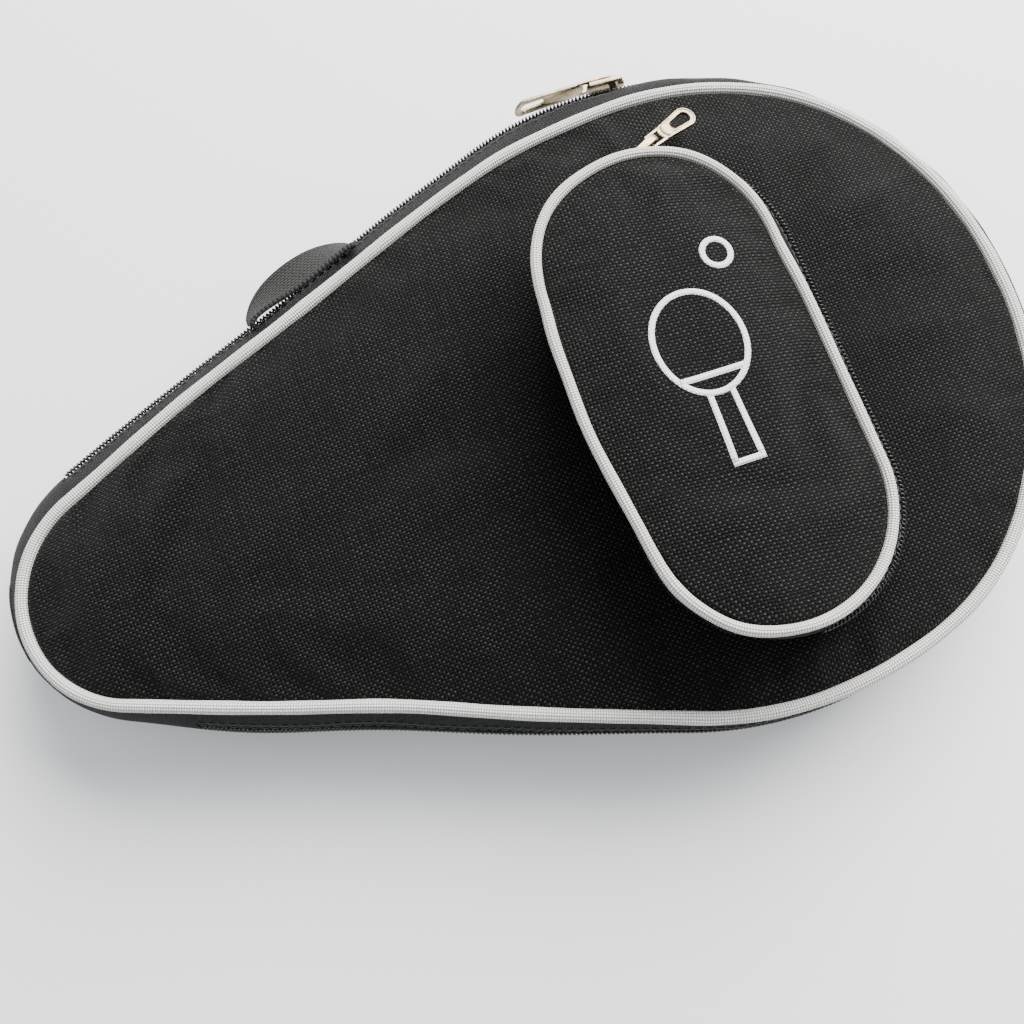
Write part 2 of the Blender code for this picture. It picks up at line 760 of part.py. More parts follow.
def build_pocket(front, lid_axis):
    """Lower and upper halves of the ball pocket."""
    left = POCKET_END_STEPS + POCKET_SIDE_STEPS // 2
    hinge_a = FACE_LINE[POCKET_END_STEPS]
    hinge_b = FACE_LINE[POCKET_END_STEPS + POCKET_SIDE_STEPS]
    run = (hinge_a - hinge_b).normalized()
    outward = Vector((-run.y, run.x))
    reach = max((point - hinge_b).dot(outward) for point in FACE_LINE)
    plan = hinge_b.lerp(hinge_a, 0.5) + outward * (reach + FLAP_AXIS_OUT)
    axis = placed(plan, pocket_zip_height(POCKET_ZIP[left]))
    flap = add_empty("pocket_flap_axis", tuple(Vector(axis) - Vector(lid_axis)), front)

    zip_start = POCKET_HINGE_END
    zip_end = POCKET_HINGE_START + POCKET_RING
    for half, upper, parent, origin in (
        ("lower", False, front, lid_axis), ("upper", True, flap, axis),
    ):
        strip = pocket_wall(zip_start, zip_end, (0.04, 0.5), 0.0, POCKET_WALL_T, upper)
        add_part("pocket_gusset_" + half, *strip, BLACK_FABRIC, parent, origin)
        tape = pocket_wall(zip_start, zip_end, (0.54, 0.78, 1.0), 0.3, 0.7, upper)
        add_part("pocket_zipper_tape_" + half, *tape, BLACK_TAPE, parent, origin)
        coil = pocket_wall(zip_start, zip_end, (0.82, 1.0), -1.2, 1.2, upper)
        add_part("pocket_zipper_coil_" + half, *coil, BLACK_NYLON, parent, origin)
        hinge = pocket_wall(
            POCKET_HINGE_START, POCKET_HINGE_END, (0.04, 0.5, 1.0), 0.0, POCKET_WALL_T, upper
        )
        add_part("pocket_hinge_gusset_" + half, *hinge, BLACK_FABRIC, parent, origin)

    heights = [face_height(point) for point in FACE_LINE]
    piping = ring_tube(FACE_LINE, outward_normals(FACE_LINE), heights, POCKET_PIPING_R)
    add_part("pocket_piping", *piping, WHITE_PIPING, flap, axis, smooth=True)
    lifts = [FACE_CROWN * (1.0 - (1.0 - inset / FACE_INSETS[-1]) ** 2) for inset in FACE_INSETS]
    cover = layer_solid(
        face_rings(FACE_INSETS, lifts), face_rings(FACE_INSETS, [lift - FABRIC for lift in lifts])
    )
    add_part("pocket_face", *cover, BLACK_FABRIC, flap, axis)
    liner_insets = (3.2,) + FACE_INSETS[1:]
    tops = [lift - FABRIC - 1.5 * GAP for lift in lifts]
    liner = layer_solid(
        face_rings(liner_insets, tops), face_rings(liner_insets, [top - LINING for top in tops])
    )
    add_part("pocket_lining", *liner, BLACK_TAPE, flap, axis)
    return axis, run


def build_pocket_slider(front, lid_axis):
    """Slider on the pocket's top end arc, and its pull on the panel."""
    centre = Vector((POCKET_TOP[0] + POCKET_ZIP_SHIFT, POCKET_TOP[1] + POCKET_ZIP_RISE))
    axis = Vector(placed(centre, pocket_zip_height(centre)))
    slope = Vector((-POCKET_ZIP_SLOPE, 0.0, 1.0)).normalized()
    arc = add_empty("pocket_slider_axis", tuple(axis - Vector(lid_axis)), front)
    angle = radians(POCKET_SLIDER_ANGLE)
    plan_out = Vector((cos(angle), sin(angle), 0.0))
    along = plan_out.cross(slope).normalized()
    outward = slope.cross(along).normalized()
    plan_seat = centre + Vector((plan_out.x, plan_out.y)) * (POCKET_TOP_R + POCKET_ZIP_GROW)
    seat = Vector(placed(plan_seat, pocket_zip_height(plan_seat)))
    frame = slider_frame(seat, outward, along)
    outer = POCKET_SLIDER_OUTER
    inner = POCKET_SLIDER_INNER
    solids = [
        box_solid((-4.5, outer, -3.8), (4.5, outer + POCKET_PLATE_T, 3.2), frame),
        box_solid((-3.8, inner - 0.8, -1.6), (3.8, inner, 1.6), frame),
        box_solid((1.2, inner - 0.4, -0.15), (3.2, outer + 0.4, 0.15), frame),
        box_solid((-4.0, 0.7, -3.7), (4.0, outer + 0.4, -3.1), frame),
    ]
    lean = radians(POCKET_PULL_ANGLE)
    pull_out = Vector((cos(lean), sin(lean), 0.0))
    foot = seat + outward * (outer + POCKET_PLATE_T)
    clasp = foot + outward * CLASP_OUT - pull_out * CLASP_BACK
    crown = slider_frame(clasp, (0.0, 0.0, 1.0), pull_out)
    solids.append(box_solid((-2.7, -1.6, -1.2), (5.7, -0.7, 1.2), crown))
    solids.append(box_solid((4.8, -1.2, -1.0), (5.5, 2.0, 1.0), crown))
    solids.append(box_solid((-2.6, 1.6, -1.1), (5.6, 2.4, 1.1), crown))
    union_part("pocket_slider", solids, PALE_GOLD, arc, tuple(axis))

    pin = clasp + pull_out * CLASP_PIN + Vector((0.0, 0.0, 0.45))
    drop = radians(POCKET_PULL_DROP)
    hook = add_empty("pocket_pull_axis", tuple(pin - axis), arc)
    pull_x = pull_out * cos(drop) - Vector((0.0, 0.0, sin(drop)))
    pull_y = pull_out * sin(drop) + Vector((0.0, 0.0, cos(drop)))
    pull_frame = slider_frame(pin, pull_y, pull_x)
    flat = Matrix.Rotation(radians(-90.0), 4, "X")
    half_width = POCKET_PULL_HALF_W
    plate_line = [(POCKET_PLATE_FROM, -POCKET_PULL_NECK)]
    middle = POCKET_PULL_LENGTH - half_width
    for step in range(7):
        turn = -0.5 * pi + pi * step / 6
        plate_line.append((middle + half_width * cos(turn), half_width * sin(turn)))
    plate_line.append((POCKET_PLATE_FROM, POCKET_PULL_NECK))
    thick = POCKET_PULL_HALF_T
    solids = [prism_solid(plate_line, -thick, thick, pull_frame @ flat)]
    for end in (-1.0, 1.0):
        low, high = sorted((end * 1.4, end * 2.3))
        solids.append(box_solid((-0.5, -0.5, low), (5.4, 0.5, high), pull_frame))
    solids.append(box_solid((-0.45, -0.45, -1.9), (0.45, 0.45, 1.9), pull_frame))
    pull = union_part("pocket_pull", solids, PALE_GOLD, None, (0.0, 0.0, 0.0))
    hole = slot_outline(middle - POCKET_HOLE_FROM, middle + POCKET_HOLE_TO, POCKET_HOLE_HALF_W)
    cut_with(pull, *prism_solid(hole, -CUT_DEPTH, CUT_DEPTH, pull_frame @ flat))
    pull.data.transform(Matrix.Translation(-pin * MM))
    pull.parent = hook
    return axis, slope, pin, pull_out


# ---------------------------------------------------------------- assembly

def report_joint(name, place, axis):
    """Print a joint's place in metres and its direction."""
    where = [round(value * MM, 6) for value in place]
    print("JOINT", name, where, [round(value, 6) for value in axis])


def build_case():
    """Put the whole case together."""
    back = add_empty("back_shell", (0.0, 0.0, 0.0))
    tip = min(point.x for point in ZIP) - 1.0
    lid_axis = (tip + CASE_X, ZIP_HANDLE[1] + CASE_Y, ZIP_Z)
    front = add_empty("front_shell_axis", lid_axis, back)
    build_panels(back, front, lid_axis)
    build_walls("back", back, BACK_SEAM_Z, (0.0, 0.0, 0.0))
    build_walls("front", front, FRONT_SEAM_Z, lid_axis)
    pin = build_main_slider(back)
    loop_place, loop_run = build_loop(front, lid_axis)
    flap_axis, flap_run = build_pocket(front, lid_axis)
    arc_axis, arc_slope, hook, pull_out = build_pocket_slider(front, lid_axis)
    report_joint("lid", lid_axis, (0.0, -1.0, 0.0))
    report_joint("main_slider", (ZIP_BLADE[0] + CASE_X, ZIP_BLADE[1] + CASE_Y, ZIP_Z), (0, 0, 1))
    report_joint("main_pull", pin, (0.0, 0.0, -1.0))
    report_joint("loop", loop_place, loop_run)
    report_joint("flap", flap_axis, (-flap_run.x, -flap_run.y, 0.0))
    report_joint("pocket_slider", arc_axis, arc_slope)
    report_joint("pocket_pull", hook, Vector((0.0, 0.0, 1.0)).cross(pull_out))


clear_scene()
build_case()
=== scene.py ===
"""Look of the zipped paddle case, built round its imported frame.

The case lies on its back. Plan sizes are in millimetres from the middle of
the blade end; heights are millimetres above the table.
"""
from math import acos, atan2, cos, hypot, pi, radians, sin

import bmesh
import bpy
import numpy as np
from mathutils import Matrix, Vector
from mathutils.geometry import delaunay_2d_cdt


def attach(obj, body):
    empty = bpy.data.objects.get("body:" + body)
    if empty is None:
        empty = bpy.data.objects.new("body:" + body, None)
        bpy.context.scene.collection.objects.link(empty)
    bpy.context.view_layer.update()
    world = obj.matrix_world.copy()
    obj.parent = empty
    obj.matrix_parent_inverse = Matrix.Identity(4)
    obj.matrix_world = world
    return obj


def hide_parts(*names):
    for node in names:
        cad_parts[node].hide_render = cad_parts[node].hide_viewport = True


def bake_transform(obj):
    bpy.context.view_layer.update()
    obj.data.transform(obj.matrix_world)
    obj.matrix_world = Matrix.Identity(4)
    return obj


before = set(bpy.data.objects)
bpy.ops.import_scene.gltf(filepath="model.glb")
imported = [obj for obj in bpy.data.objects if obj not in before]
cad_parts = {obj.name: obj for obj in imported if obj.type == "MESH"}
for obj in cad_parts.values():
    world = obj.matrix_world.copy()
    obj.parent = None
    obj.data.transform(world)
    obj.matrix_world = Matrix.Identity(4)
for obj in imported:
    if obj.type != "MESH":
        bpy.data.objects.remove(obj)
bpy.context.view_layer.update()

MM = 0.001
CASE_X = 54.2
CASE_Y = -6.39
CASE_PLACE = np.array((CASE_X, CASE_Y, 0.0))
DENSE = 6

# Outlines of the case: the piping's middle, and the zip line.
BLADE_R = 95.6
HANDLE_R = 33.1
HANDLE_X = -170.6
SEAM_WAVES = (
    (1, -8.0, 34.0, -4.2),
    (1, -142.0, 32.0, 1.6),
    (1, 69.0, 26.0, 2.3),
    (-1, -112.0, 24.0, -1.5),
    (-1, 55.0, 27.0, 2.5),
)
WAVE_FADE = 30.0
ZIP_BLADE = (0.2, 4.6)
ZIP_BLADE_R = 103.3
ZIP_HANDLE = (-172.2, 6.0)
ZIP_HANDLE_R = 41.0
ZIP_WAVES = (
    (1, -158.0, 45.0, 1.3),
    (1, -70.0, 28.0, 1.4),
    (-1, -155.0, 30.0, 3.4),
    (-1, -85.0, 38.0, 2.2),
)
MAIN_STEPS = (36, 8, 12)
HINGE_START = 44
HINGE_END = 57
RING = 64
BACK_SEAM_Z = 4.4
ZIP_Z = 21.5
FRONT_SEAM_Z = 37.4
FRONT_CROWN = 5.0
CROWN_REACH = 40.0
PIPING_R = 1.9

# Outlines of the ball pocket.
POCKET_TOP = (-1.6, 26.9)
POCKET_TOP_R = 34.8
POCKET_BOTTOM = (-1.6, -42.4)
POCKET_BOTTOM_R = 34.5
POCKET_LEFT_BOW = 2.6
FACE_WAVES = (
    (-38.0, 16.0, 11.0, 1.2),
    (-36.0, -47.0, 9.0, -0.9),
    (-21.0, -72.0, 9.0, 0.6),
    (-12.0, 59.5, 12.0, -0.8),
    (18.0, 57.0, 11.0, 0.8),
    (32.0, 27.0, 13.0, -1.3),
)
POCKET_BASE_SHIFT = 3.8
POCKET_BASE_GROW = 0.4
POCKET_ZIP_SHIFT = 3.2
POCKET_ZIP_RISE = 0.7
POCKET_ZIP_GROW = 2.1
POCKET_MIDDLE_X = -1.6
FACE_Z = 64.5
FACE_SLOPE = -0.19
POCKET_ZIP_Z = 53.0
POCKET_ZIP_SLOPE = -0.085
FACE_CROWN = 2.2
POCKET_PIPING_R = 1.5
POCKET_STEPS = (14, 5, 14)
POCKET_RING = 38
POCKET_HINGE_START = 9
POCKET_HINGE_END = 26
POCKET_DENSE = 8
HINGE_FOLD_AT = 6
HINGE_FOLD_REACH = 1.5
POCKET_FOLD_START = 14
POCKET_FOLD_END = 19

COIL_PITCH = 1.25
STITCH_PITCH = 3.0
STITCH_LENGTH = 2.1
FOLD_SCALE = 1.7

# Panels: insets of the rings by the seam, and the spacing of the filled middle.
RING_INSETS = (1.0, 1.5, 2.0, 2.6, 3.3, 4.2, 5.4, 6.8, 8.4, 10.2, 12.2, 14.4)
PAD_INSETS = (4.6, 5.2, 6.6, 9.0, 12.0, 15.0)
MIDDLE_SPACING = 2.6
PANEL_THICK = 0.8
LINING_THICK = 0.5

# Cloth pass: frames, pressure, rings held at the seam, and the furthest move.
CLOTH_FRAMES = 20
CLOTH_PRESSURE = 2.0
CLOTH_STIFFNESS = 12.0
HELD_RINGS = 2
CLOTH_CAP = 0.9

# Hinge folds reach a little outside the strips; the pocket's bend heights are read but not used.
FOLD_LIFT = 0.15
POCKET_BEND = (0.0505, 0.0585)

MAIN_SLIDER_ANGLE = 82.0
POCKET_SLIDER_ANGLE = 78.0
LOOP_ENDS = (-117.0, -79.0)
LOOP_HEIGHT = 30.0
LOOP_OFF = 1.9
LOOP_RISE = 5.2
LOOP_HALF_WIDTH = 6.5


# ---------------------------------------------------------------- outlines

def two_circles(first, first_r, second, second_r, bows, steps, dense):
    """Closed outline, anticlockwise, round two circles and two bowed sides."""
    end_steps, side_steps, second_steps = [count * dense for count in steps]
    run = (first[0] - second[0], first[1] - second[1])
    base = atan2(run[1], run[0])
    spread = acos((second_r - first_r) / hypot(*run))

    def arc(centre, radius, angles):
        return np.array(centre) + radius * np.column_stack((np.cos(angles), np.sin(angles)))

    def side(start, end, angle, bow):
        shares = (np.arange(1, side_steps) / side_steps)[:, None]
        normal = np.array((cos(angle), sin(angle)))
        return start + (end - start) * shares + normal * bow * np.sin(pi * shares) ** 2

    first_arc = arc(first, first_r, np.linspace(base - spread, base + spread, end_steps + 1))
    turn = 2.0 * pi - 2.0 * spread
    second_angles = np.linspace(base + spread, base + spread + turn, second_steps + 1)
    second_arc = arc(second, second_r, second_angles)
    upper = side(first_arc[-1], second_arc[0], base + spread, bows[0])
    lower = side(second_arc[-1], first_arc[0], base - spread, bows[1])
    return np.vstack((first_arc, upper, second_arc, lower))


def plan_normals(outline):
    """Unit normals that point out of an anticlockwise outline."""
    run = np.roll(outline, -1, axis=0) - np.roll(outline, 1, axis=0)
    normals = np.column_stack((run[:, 1], -run[:, 0]))
    return normals / np.linalg.norm(normals, axis=1)[:, None]


def with_slack(outline, waves):
    """Outline moved in or out where the sewn seam is slack."""
    move = np.zeros(len(outline))
    fade = np.minimum(1.0, np.abs(outline[:, 1]) / WAVE_FADE)
    for side, middle, width, height in waves:
        swell = height * fade * np.exp(-(((outline[:, 0] - middle) / width) ** 2))
        move += np.where(outline[:, 1] * side > 0.0, swell, 0.0)
    return outline + plan_normals(outline) * move[:, None]


def pocket_outline(shift, rise, grow, left_bow):
    """Pocket outline moved away from its hinge side and grown all round."""
    top = (POCKET_TOP[0] + shift, POCKET_TOP[1] + rise)
    bottom = (POCKET_BOTTOM[0] + shift, POCKET_BOTTOM[1])
    top_r = POCKET_TOP_R + grow
    bottom_r = POCKET_BOTTOM_R + grow
    return two_circles(top, top_r, bottom, bottom_r, (left_bow, 0.0), POCKET_STEPS, POCKET_DENSE)


def face_outline():
    """Middle of the pocket's piping, with the slack of its seam."""
    plain = pocket_outline(0.0, 0.0, 0.0, POCKET_LEFT_BOW)
    move = np.zeros(len(plain))
    for x, y, width, height in FACE_WAVES:
        away = np.linalg.norm(plain - np.array((x, y)), axis=1)
        move += height * np.exp(-((away / width) ** 2))
    return plain + plan_normals(plain) * move[:, None]


SEAM = with_slack(
    two_circles((0.0, 0.0), BLADE_R, (HANDLE_X, 0.0), HANDLE_R, (0.0, 0.0), MAIN_STEPS, DENSE),
    SEAM_WAVES,
)
ZIP = with_slack(
    two_circles(ZIP_BLADE, ZIP_BLADE_R, ZIP_HANDLE, ZIP_HANDLE_R, (0.0, 0.0), MAIN_STEPS, DENSE),
    ZIP_WAVES,
)
SEAM_NORMALS = plan_normals(SEAM)
ZIP_NORMALS = plan_normals(ZIP)
FACE_LINE = face_outline()
POCKET_ZIP = pocket_outline(POCKET_ZIP_SHIFT, POCKET_ZIP_RISE, POCKET_ZIP_GROW, 0.0)
POCKET_BASE = pocket_outline(POCKET_BASE_SHIFT, 0.0, POCKET_BASE_GROW, 0.0)
POCKET_NORMALS = plan_normals(POCKET_ZIP)


def barrel(level):
    """Share of the bulge reached at a share of the wall's height."""
    return 0.5 * level + 0.5 * sin(0.5 * pi * level)


def nearest(points, outline):
    """Distance of plan points to an outline."""
    gaps = points[:, None, :] - outline[None, :, :]
    return np.sqrt((gaps ** 2).sum(axis=2)).min(axis=1)


# ---------------------------------------------------------------- surfaces

# Folds in cloth: x, y, direction in degrees, half length, half width, height.
FRONT_FOLDS = (
    (-15.9, 66.0, 62.0, 17.0, 4.5, 1.0),
    (-29.0, 69.0, 74.0, 13.0, 4.0, -0.7),
    (5.1, 76.0, 96.0, 10.0, 2.6, 0.6),
    (13.0, 76.0, 92.0, 9.0, 2.4, -0.5),
    (22.0, 73.0, 84.0, 11.0, 3.0, 0.6),
    (39.8, 52.0, 60.0, 14.0, 4.2, 0.8),
    (53.0, 46.0, 38.0, 13.0, 3.8, -0.8),
    (61.0, 33.0, 20.0, 15.0, 4.0, 0.9),
    (58.0, 8.0, 8.0, 17.0, 5.0, -0.7),
    (56.0, -7.8, 4.0, 18.0, 5.0, 0.8),
    (62.0, -34.0, -18.0, 15.0, 5.0, 0.6),
    (0.0, -86.0, 84.0, 7.0, 3.0, 0.6),
    (-10.0, -84.0, 94.0, 8.0, 3.0, -0.6),
    (12.0, -84.0, 76.0, 8.0, 3.2, -0.5),
    (-71.0, 27.0, 24.0, 24.0, 8.0, 0.9),
    (-60.0, -6.5, -14.0, 28.0, 9.0, 0.8),
    (-84.0, 8.0, 4.0, 26.0, 7.0, -0.8),
    (-52.0, 34.0, 70.0, 18.0, 6.0, -0.7),
    (-48.0, -40.0, 64.0, 20.0, 7.0, 0.7),
    (-118.0, 4.0, 12.0, 26.0, 9.0, 0.6),
    (-128.0, -16.0, -26.0, 16.0, 5.0, -0.5),
    (-150.0, 12.0, 30.0, 16.0, 6.0, -0.5),
    (-96.0, -38.0, -30.0, 16.0, 5.0, 0.5),
)
FACE_FOLDS = (
    (-1.6, -52.4, 18.0, 18.0, 4.5, 0.8),
    (8.0, -60.0, 32.0, 14.0, 4.0, -0.7),
    (-16.0, -44.0, 8.0, 14.0, 4.5, 0.5),
    (6.6, 51.3, 60.0, 10.0, 3.5, 0.6),
    (-4.0, 52.0, 88.0, 9.0, 3.0, -0.5),
    (17.0, 46.0, 30.0, 12.0, 4.0, -0.5),
    (18.0, -20.0, 74.0, 18.0, 5.0, -0.5),
    (-20.0, 6.0, 96.0, 24.0, 5.5, 0.5),
    (6.0, 12.0, 84.0, 30.0, 9.0, 0.4),
)
BACK_FOLDS = (
    (-40.0, 20.0, 20.0, 30.0, 8.0, 0.5),
    (20.0, -30.0, 70.0, 30.0, 9.0, 0.4),
    (-110.0, -4.0, 4.0, 30.0, 8.0, 0.4),
)


def fold_height(points, folds):
    """Height of the folds at plan points."""
    total = np.zeros(len(points))
    for x, y, direction, half_length, half_width, height in folds:
        turn = radians(direction)
        gap = points - np.array((x, y))
        run = gap[:, 0] * cos(turn) + gap[:, 1] * sin(turn)
        off = gap[:, 1] * cos(turn) - gap[:, 0] * sin(turn)
        off = off + 0.012 * run ** 2
        total += FOLD_SCALE * height * np.exp(-((run / half_length) ** 2) - (off / half_width) ** 2)
    return total


def pucker(points, inset, size):
    """Small gathers along a seam that die away from it."""
    around = np.arctan2(points[:, 1], points[:, 0])
    wave = np.sin(41.0 * around + 1.3) + 0.7 * np.sin(67.0 * around + 0.4)
    wave += 0.8 * np.sin(0.31 * points[:, 0] + 2.0)
    return size * wave * np.exp(-(((inset - 4.5) / 4.0) ** 2))


def front_height(points):
    """Height of the padded front panel under plan points."""
    inset = nearest(points, SEAM)
    half_width = BLADE_R + (BLADE_R - HANDLE_R) * np.minimum(points[:, 0], 0.0) / -HANDLE_X
    reach = np.minimum(CROWN_REACH, np.maximum(0.9 * half_width, 0.9 * HANDLE_R))
    share = np.minimum(inset / reach, 1.0)
    crown = FRONT_CROWN * (1.0 - (1.0 - share) ** 2.2)
    groove = -0.8 * np.exp(-(((inset - 1.4) / 1.1) ** 2))
    ease = np.clip((inset - 2.0) / 8.0, 0.0, 1.0)
    swell = 0.35 * np.sin(0.071 * points[:, 0] + 0.6) * np.sin(0.083 * points[:, 1] + 1.1)
    folds = (fold_height(points, FRONT_FOLDS) + swell) * ease
    return FRONT_SEAM_Z + crown + groove + folds + pucker(points, inset, 0.10)


def face_plane(points):
    """Height of the tilted plane that the pocket's piping lies in."""
    return FACE_Z + FACE_SLOPE * (points[:, 0] - POCKET_MIDDLE_X)


def pocket_zip_plane(points):
    """Height of the tilted plane that the pocket's zip lies in."""
    return POCKET_ZIP_Z + POCKET_ZIP_SLOPE * (points[:, 0] - POCKET_MIDDLE_X)


def face_height(points):
    """Height of the pocket's padded face under plan points."""
    inset = nearest(points, FACE_LINE)
    share = np.minimum(inset, 24.0) / 24.0
    crown = FACE_CROWN * (1.0 - (1.0 - share) ** 2)
    groove = -0.6 * np.exp(-(((inset - 1.2) / 0.9) ** 2))
    ease = np.clip((inset - 1.6) / 6.0, 0.0, 1.0)
    folds = fold_height(points, FACE_FOLDS) * ease
    return face_plane(points) + crown + groove + folds + pucker(points, inset, 0.07)


def back_height(points):
    """Height of the back panel's outer face, which rests on the table."""
    inset = nearest(points, SEAM)
    ease = np.clip((inset - 6.0) / 14.0, 0.0, 1.0)
    folds = np.maximum(0.0, fold_height(points, BACK_FOLDS)) * ease
    return 4.1 * np.exp(-((inset / 4.2) ** 1.5)) + folds


# ---------------------------------------------------------------- materials

SHADER_LEVELS = {
    "sheen": "Sheen Weight",
    "sheen_rough": "Sheen Roughness",
    "specular": "Specular IOR Level",
    "metallic": "Metallic",
    "coat": "Coat Weight",
    "coat_rough": "Coat Roughness",
}


class Look:
    """Node material that is put together one step at a time."""

    def __init__(self, name):
        self.material = bpy.data.materials.new(name)
        self.material.use_nodes = True
        self.tree = self.material.node_tree
        self.shader = self.tree.nodes["Principled BSDF"]

    def feed(self, socket, value):
        """Give a socket a value, a colour or another node's output."""
        if isinstance(value, bpy.types.NodeSocket):
            self.tree.links.new(value, socket)
        else:
            socket.default_value = value

    def math(self, operation, first, second=0.0):
        """Output of a sum."""
        node = self.tree.nodes.new("ShaderNodeMath")
        node.operation = operation
        self.feed(node.inputs[0], first)
        self.feed(node.inputs[1], second)
        return node.outputs[0]

    def times(self, first, second):
        """Output of a product."""
        return self.math("MULTIPLY", first, second)

    def flat_uv(self):
        """The cloth's own millimetres, along and across its grain."""
        place = self.tree.nodes.new("ShaderNodeUVMap")
        place.uv_map = "grain"
        split = self.tree.nodes.new("ShaderNodeSeparateXYZ")
        self.feed(split.inputs[0], place.outputs[0])
        return place.outputs[0], split.outputs[0], split.outputs[1]

    def object_place(self):
        """Place on the object, in metres."""
        return self.tree.nodes.new("ShaderNodeTexCoord").outputs["Object"]

    def noise(self, place, scale, detail=3.0, stretch=(1.0, 1.0, 1.0)):
        """Noise at a place, stretched along the axes."""
        mapping = self.tree.nodes.new("ShaderNodeMapping")
        self.feed(mapping.inputs["Vector"], place)
        mapping.inputs["Scale"].default_value = stretch
        node = self.tree.nodes.new("ShaderNodeTexNoise")
        self.feed(node.inputs["Vector"], mapping.outputs[0])
        node.inputs["Scale"].default_value = scale
        node.inputs["Detail"].default_value = detail
        return node.outputs[0]

    def ramp(self, value, *stops):
        """Colour from a value by stops of place and colour."""
        node = self.tree.nodes.new("ShaderNodeValToRGB")
        band = node.color_ramp
        while len(band.elements) < len(stops):
            band.elements.new(0.5)
        for element, (place, colour) in zip(band.elements, stops):
            element.position = place
            element.color = (*colour, 1.0)
        self.feed(node.inputs[0], value)
        return node.outputs[0]

    def spread(self, value, low, high, to_low, to_high):
        """Value carried from one range to another."""
        node = self.tree.nodes.new("ShaderNodeMapRange")
        for socket, number in zip(node.inputs, (value, low, high, to_low, to_high)):
            self.feed(socket, number)
        return node.outputs[0]

    def blend_colour(self, share, first, second):
        """Two colours mixed by a share."""
        node = self.tree.nodes.new("ShaderNodeMixRGB")
        for socket, value in zip(node.inputs, (share, first, second)):
            self.feed(socket, value)
        return node.outputs[0]

    def finish(self, base, rough, height, depth, **levels):
        """Material of a colour, a roughness, a relief in millimetres and other levels."""
        node = self.tree.nodes.new("ShaderNodeBump")
        self.feed(node.inputs["Height"], height)
        node.inputs["Distance"].default_value = depth * MM
        node.inputs["Strength"].default_value = 1.0
        self.feed(self.shader.inputs["Normal"], node.outputs[0])
        self.feed(self.shader.inputs["Base Color"], base)
        self.feed(self.shader.inputs["Roughness"], rough)
        for level, value in levels.items():
            self.shader.inputs[SHADER_LEVELS[level]].default_value = value
        return self.material

    def weave(self, along, across, pitch_along, pitch_across):
        """Height of a plain weave: round knuckles, every other one turned."""
        first = self.math("COSINE", self.times(along, pi / pitch_along))
        second = self.math("COSINE", self.times(across, pi / pitch_across))
        sign = self.math("GREATER_THAN", self.times(first, second), 0.0)
        first = self.math("ABSOLUTE", first)
        second = self.math("ABSOLUTE", second)
        warp = self.times(self.math("POWER", first, 0.55), self.math("POWER", second, 1.3))
        weft = self.times(self.math("POWER", first, 1.3), self.math("POWER", second, 0.55))
        flipped = self.math("SUBTRACT", 1.0, sign)
        return self.math("ADD", self.times(warp, sign), self.times(weft, flipped)), sign


def cloth_look(name, pit_shade_to_highlight, pitches, rough, depth, sheen, turn=0.0):
    """Plain-woven polyester: painted shade in the pits between rounded knuckles, which carry a
    painted highlight.
    """
    look = Look(name)
    place, along, across = look.flat_uv()
    wander = look.noise(place, 0.09, 2.0)
    drift = look.times(look.math("SUBTRACT", wander, 0.5), 1.6)
    slant = look.times(across, sin(radians(turn)))
    slant = look.math("ADD", slant, drift)
    lean = look.times(along, -sin(radians(turn)))
    lean = look.math("ADD", lean, drift)
    warp = look.math("ADD", along, slant)
    weft = look.math("ADD", across, lean)
    height, sign = look.weave(warp, weft, *pitches)
    yarn_u = look.noise(place, 1.1, 2.0, (0.05, 1.0, 1.0))
    yarn_v = look.noise(place, 1.1, 2.0, (1.0, 0.05, 1.0))
    yarn = look.times(look.math("ADD", yarn_u, yarn_v), 0.5)
    speck = look.noise(place, 1.3, 1.0)
    # The ramp below follows the weave's height: painted shade in the pits, painted highlight on the
    # knuckles; the yarn and speck noise is the cloth's own uneven tone.
    tone = look.times(height, look.spread(yarn, 0.35, 0.65, 0.62, 1.25))
    tone = look.times(tone, look.spread(speck, 0.35, 0.65, 0.75, 1.2))
    # Warp-topped cells lighter than weft-topped ones: painted highlight on the warp floats.
    tone = look.times(tone, look.spread(sign, 0.0, 1.0, 0.42, 1.15))
    base = look.ramp(tone, (0.25, pit_shade_to_highlight[0]), (0.62, pit_shade_to_highlight[1]), (0.98, pit_shade_to_highlight[2]))
    worn = look.noise(place, 0.03, 4.0)
    base = look.blend_colour(look.spread(worn, 0.3, 0.7, 0.0, 0.35), base, (*pit_shade_to_highlight[1], 1.0))
    shine = look.spread(tone, 0.0, 1.0, rough + 0.12, rough)
    return look.finish(base, shine, height, depth, sheen=sheen, sheen_rough=0.45, specular=0.11)


def ribbed_look(name, pit_shade_to_highlight, pitch, rough, depth, across_ribs=False):
    """Close ribs, as in zip tape, grosgrain binding and webbing, with painted shade in the grooves
    and a painted highlight on the ribs.
    """
    look = Look(name)
    place, along, across = look.flat_uv()
    rib_from, cross_from = (across, along) if across_ribs else (along, across)
    rib = look.math("ABSOLUTE", look.math("SINE", look.times(rib_from, pi / pitch[0])))
    shift = look.times(look.math("FLOOR", look.math("DIVIDE", rib_from, pitch[0])), 0.5)
    cross_place = look.math("ADD", look.math("DIVIDE", cross_from, pitch[1]), shift)
    cross = look.math("ABSOLUTE", look.math("SINE", look.times(cross_place, pi)))
    height = look.times(look.math("POWER", rib, 0.6), look.spread(cross, 0.0, 1.0, 0.55, 1.0))
    fuzz = look.noise(place, 0.9, 3.0)
    # The ramp follows the rib height: painted shade in the grooves, painted highlight on the rib
    # tops; the fuzz is the tape's own uneven tone.
    tone = look.times(height, look.spread(fuzz, 0.3, 0.7, 0.75, 1.2))
    base = look.ramp(tone, (0.1, pit_shade_to_highlight[0]), (0.9, pit_shade_to_highlight[1]))
    shine = look.spread(tone, 0.0, 1.0, rough + 0.15, rough)
    return look.finish(base, shine, height, depth, sheen=0.04, specular=0.12)


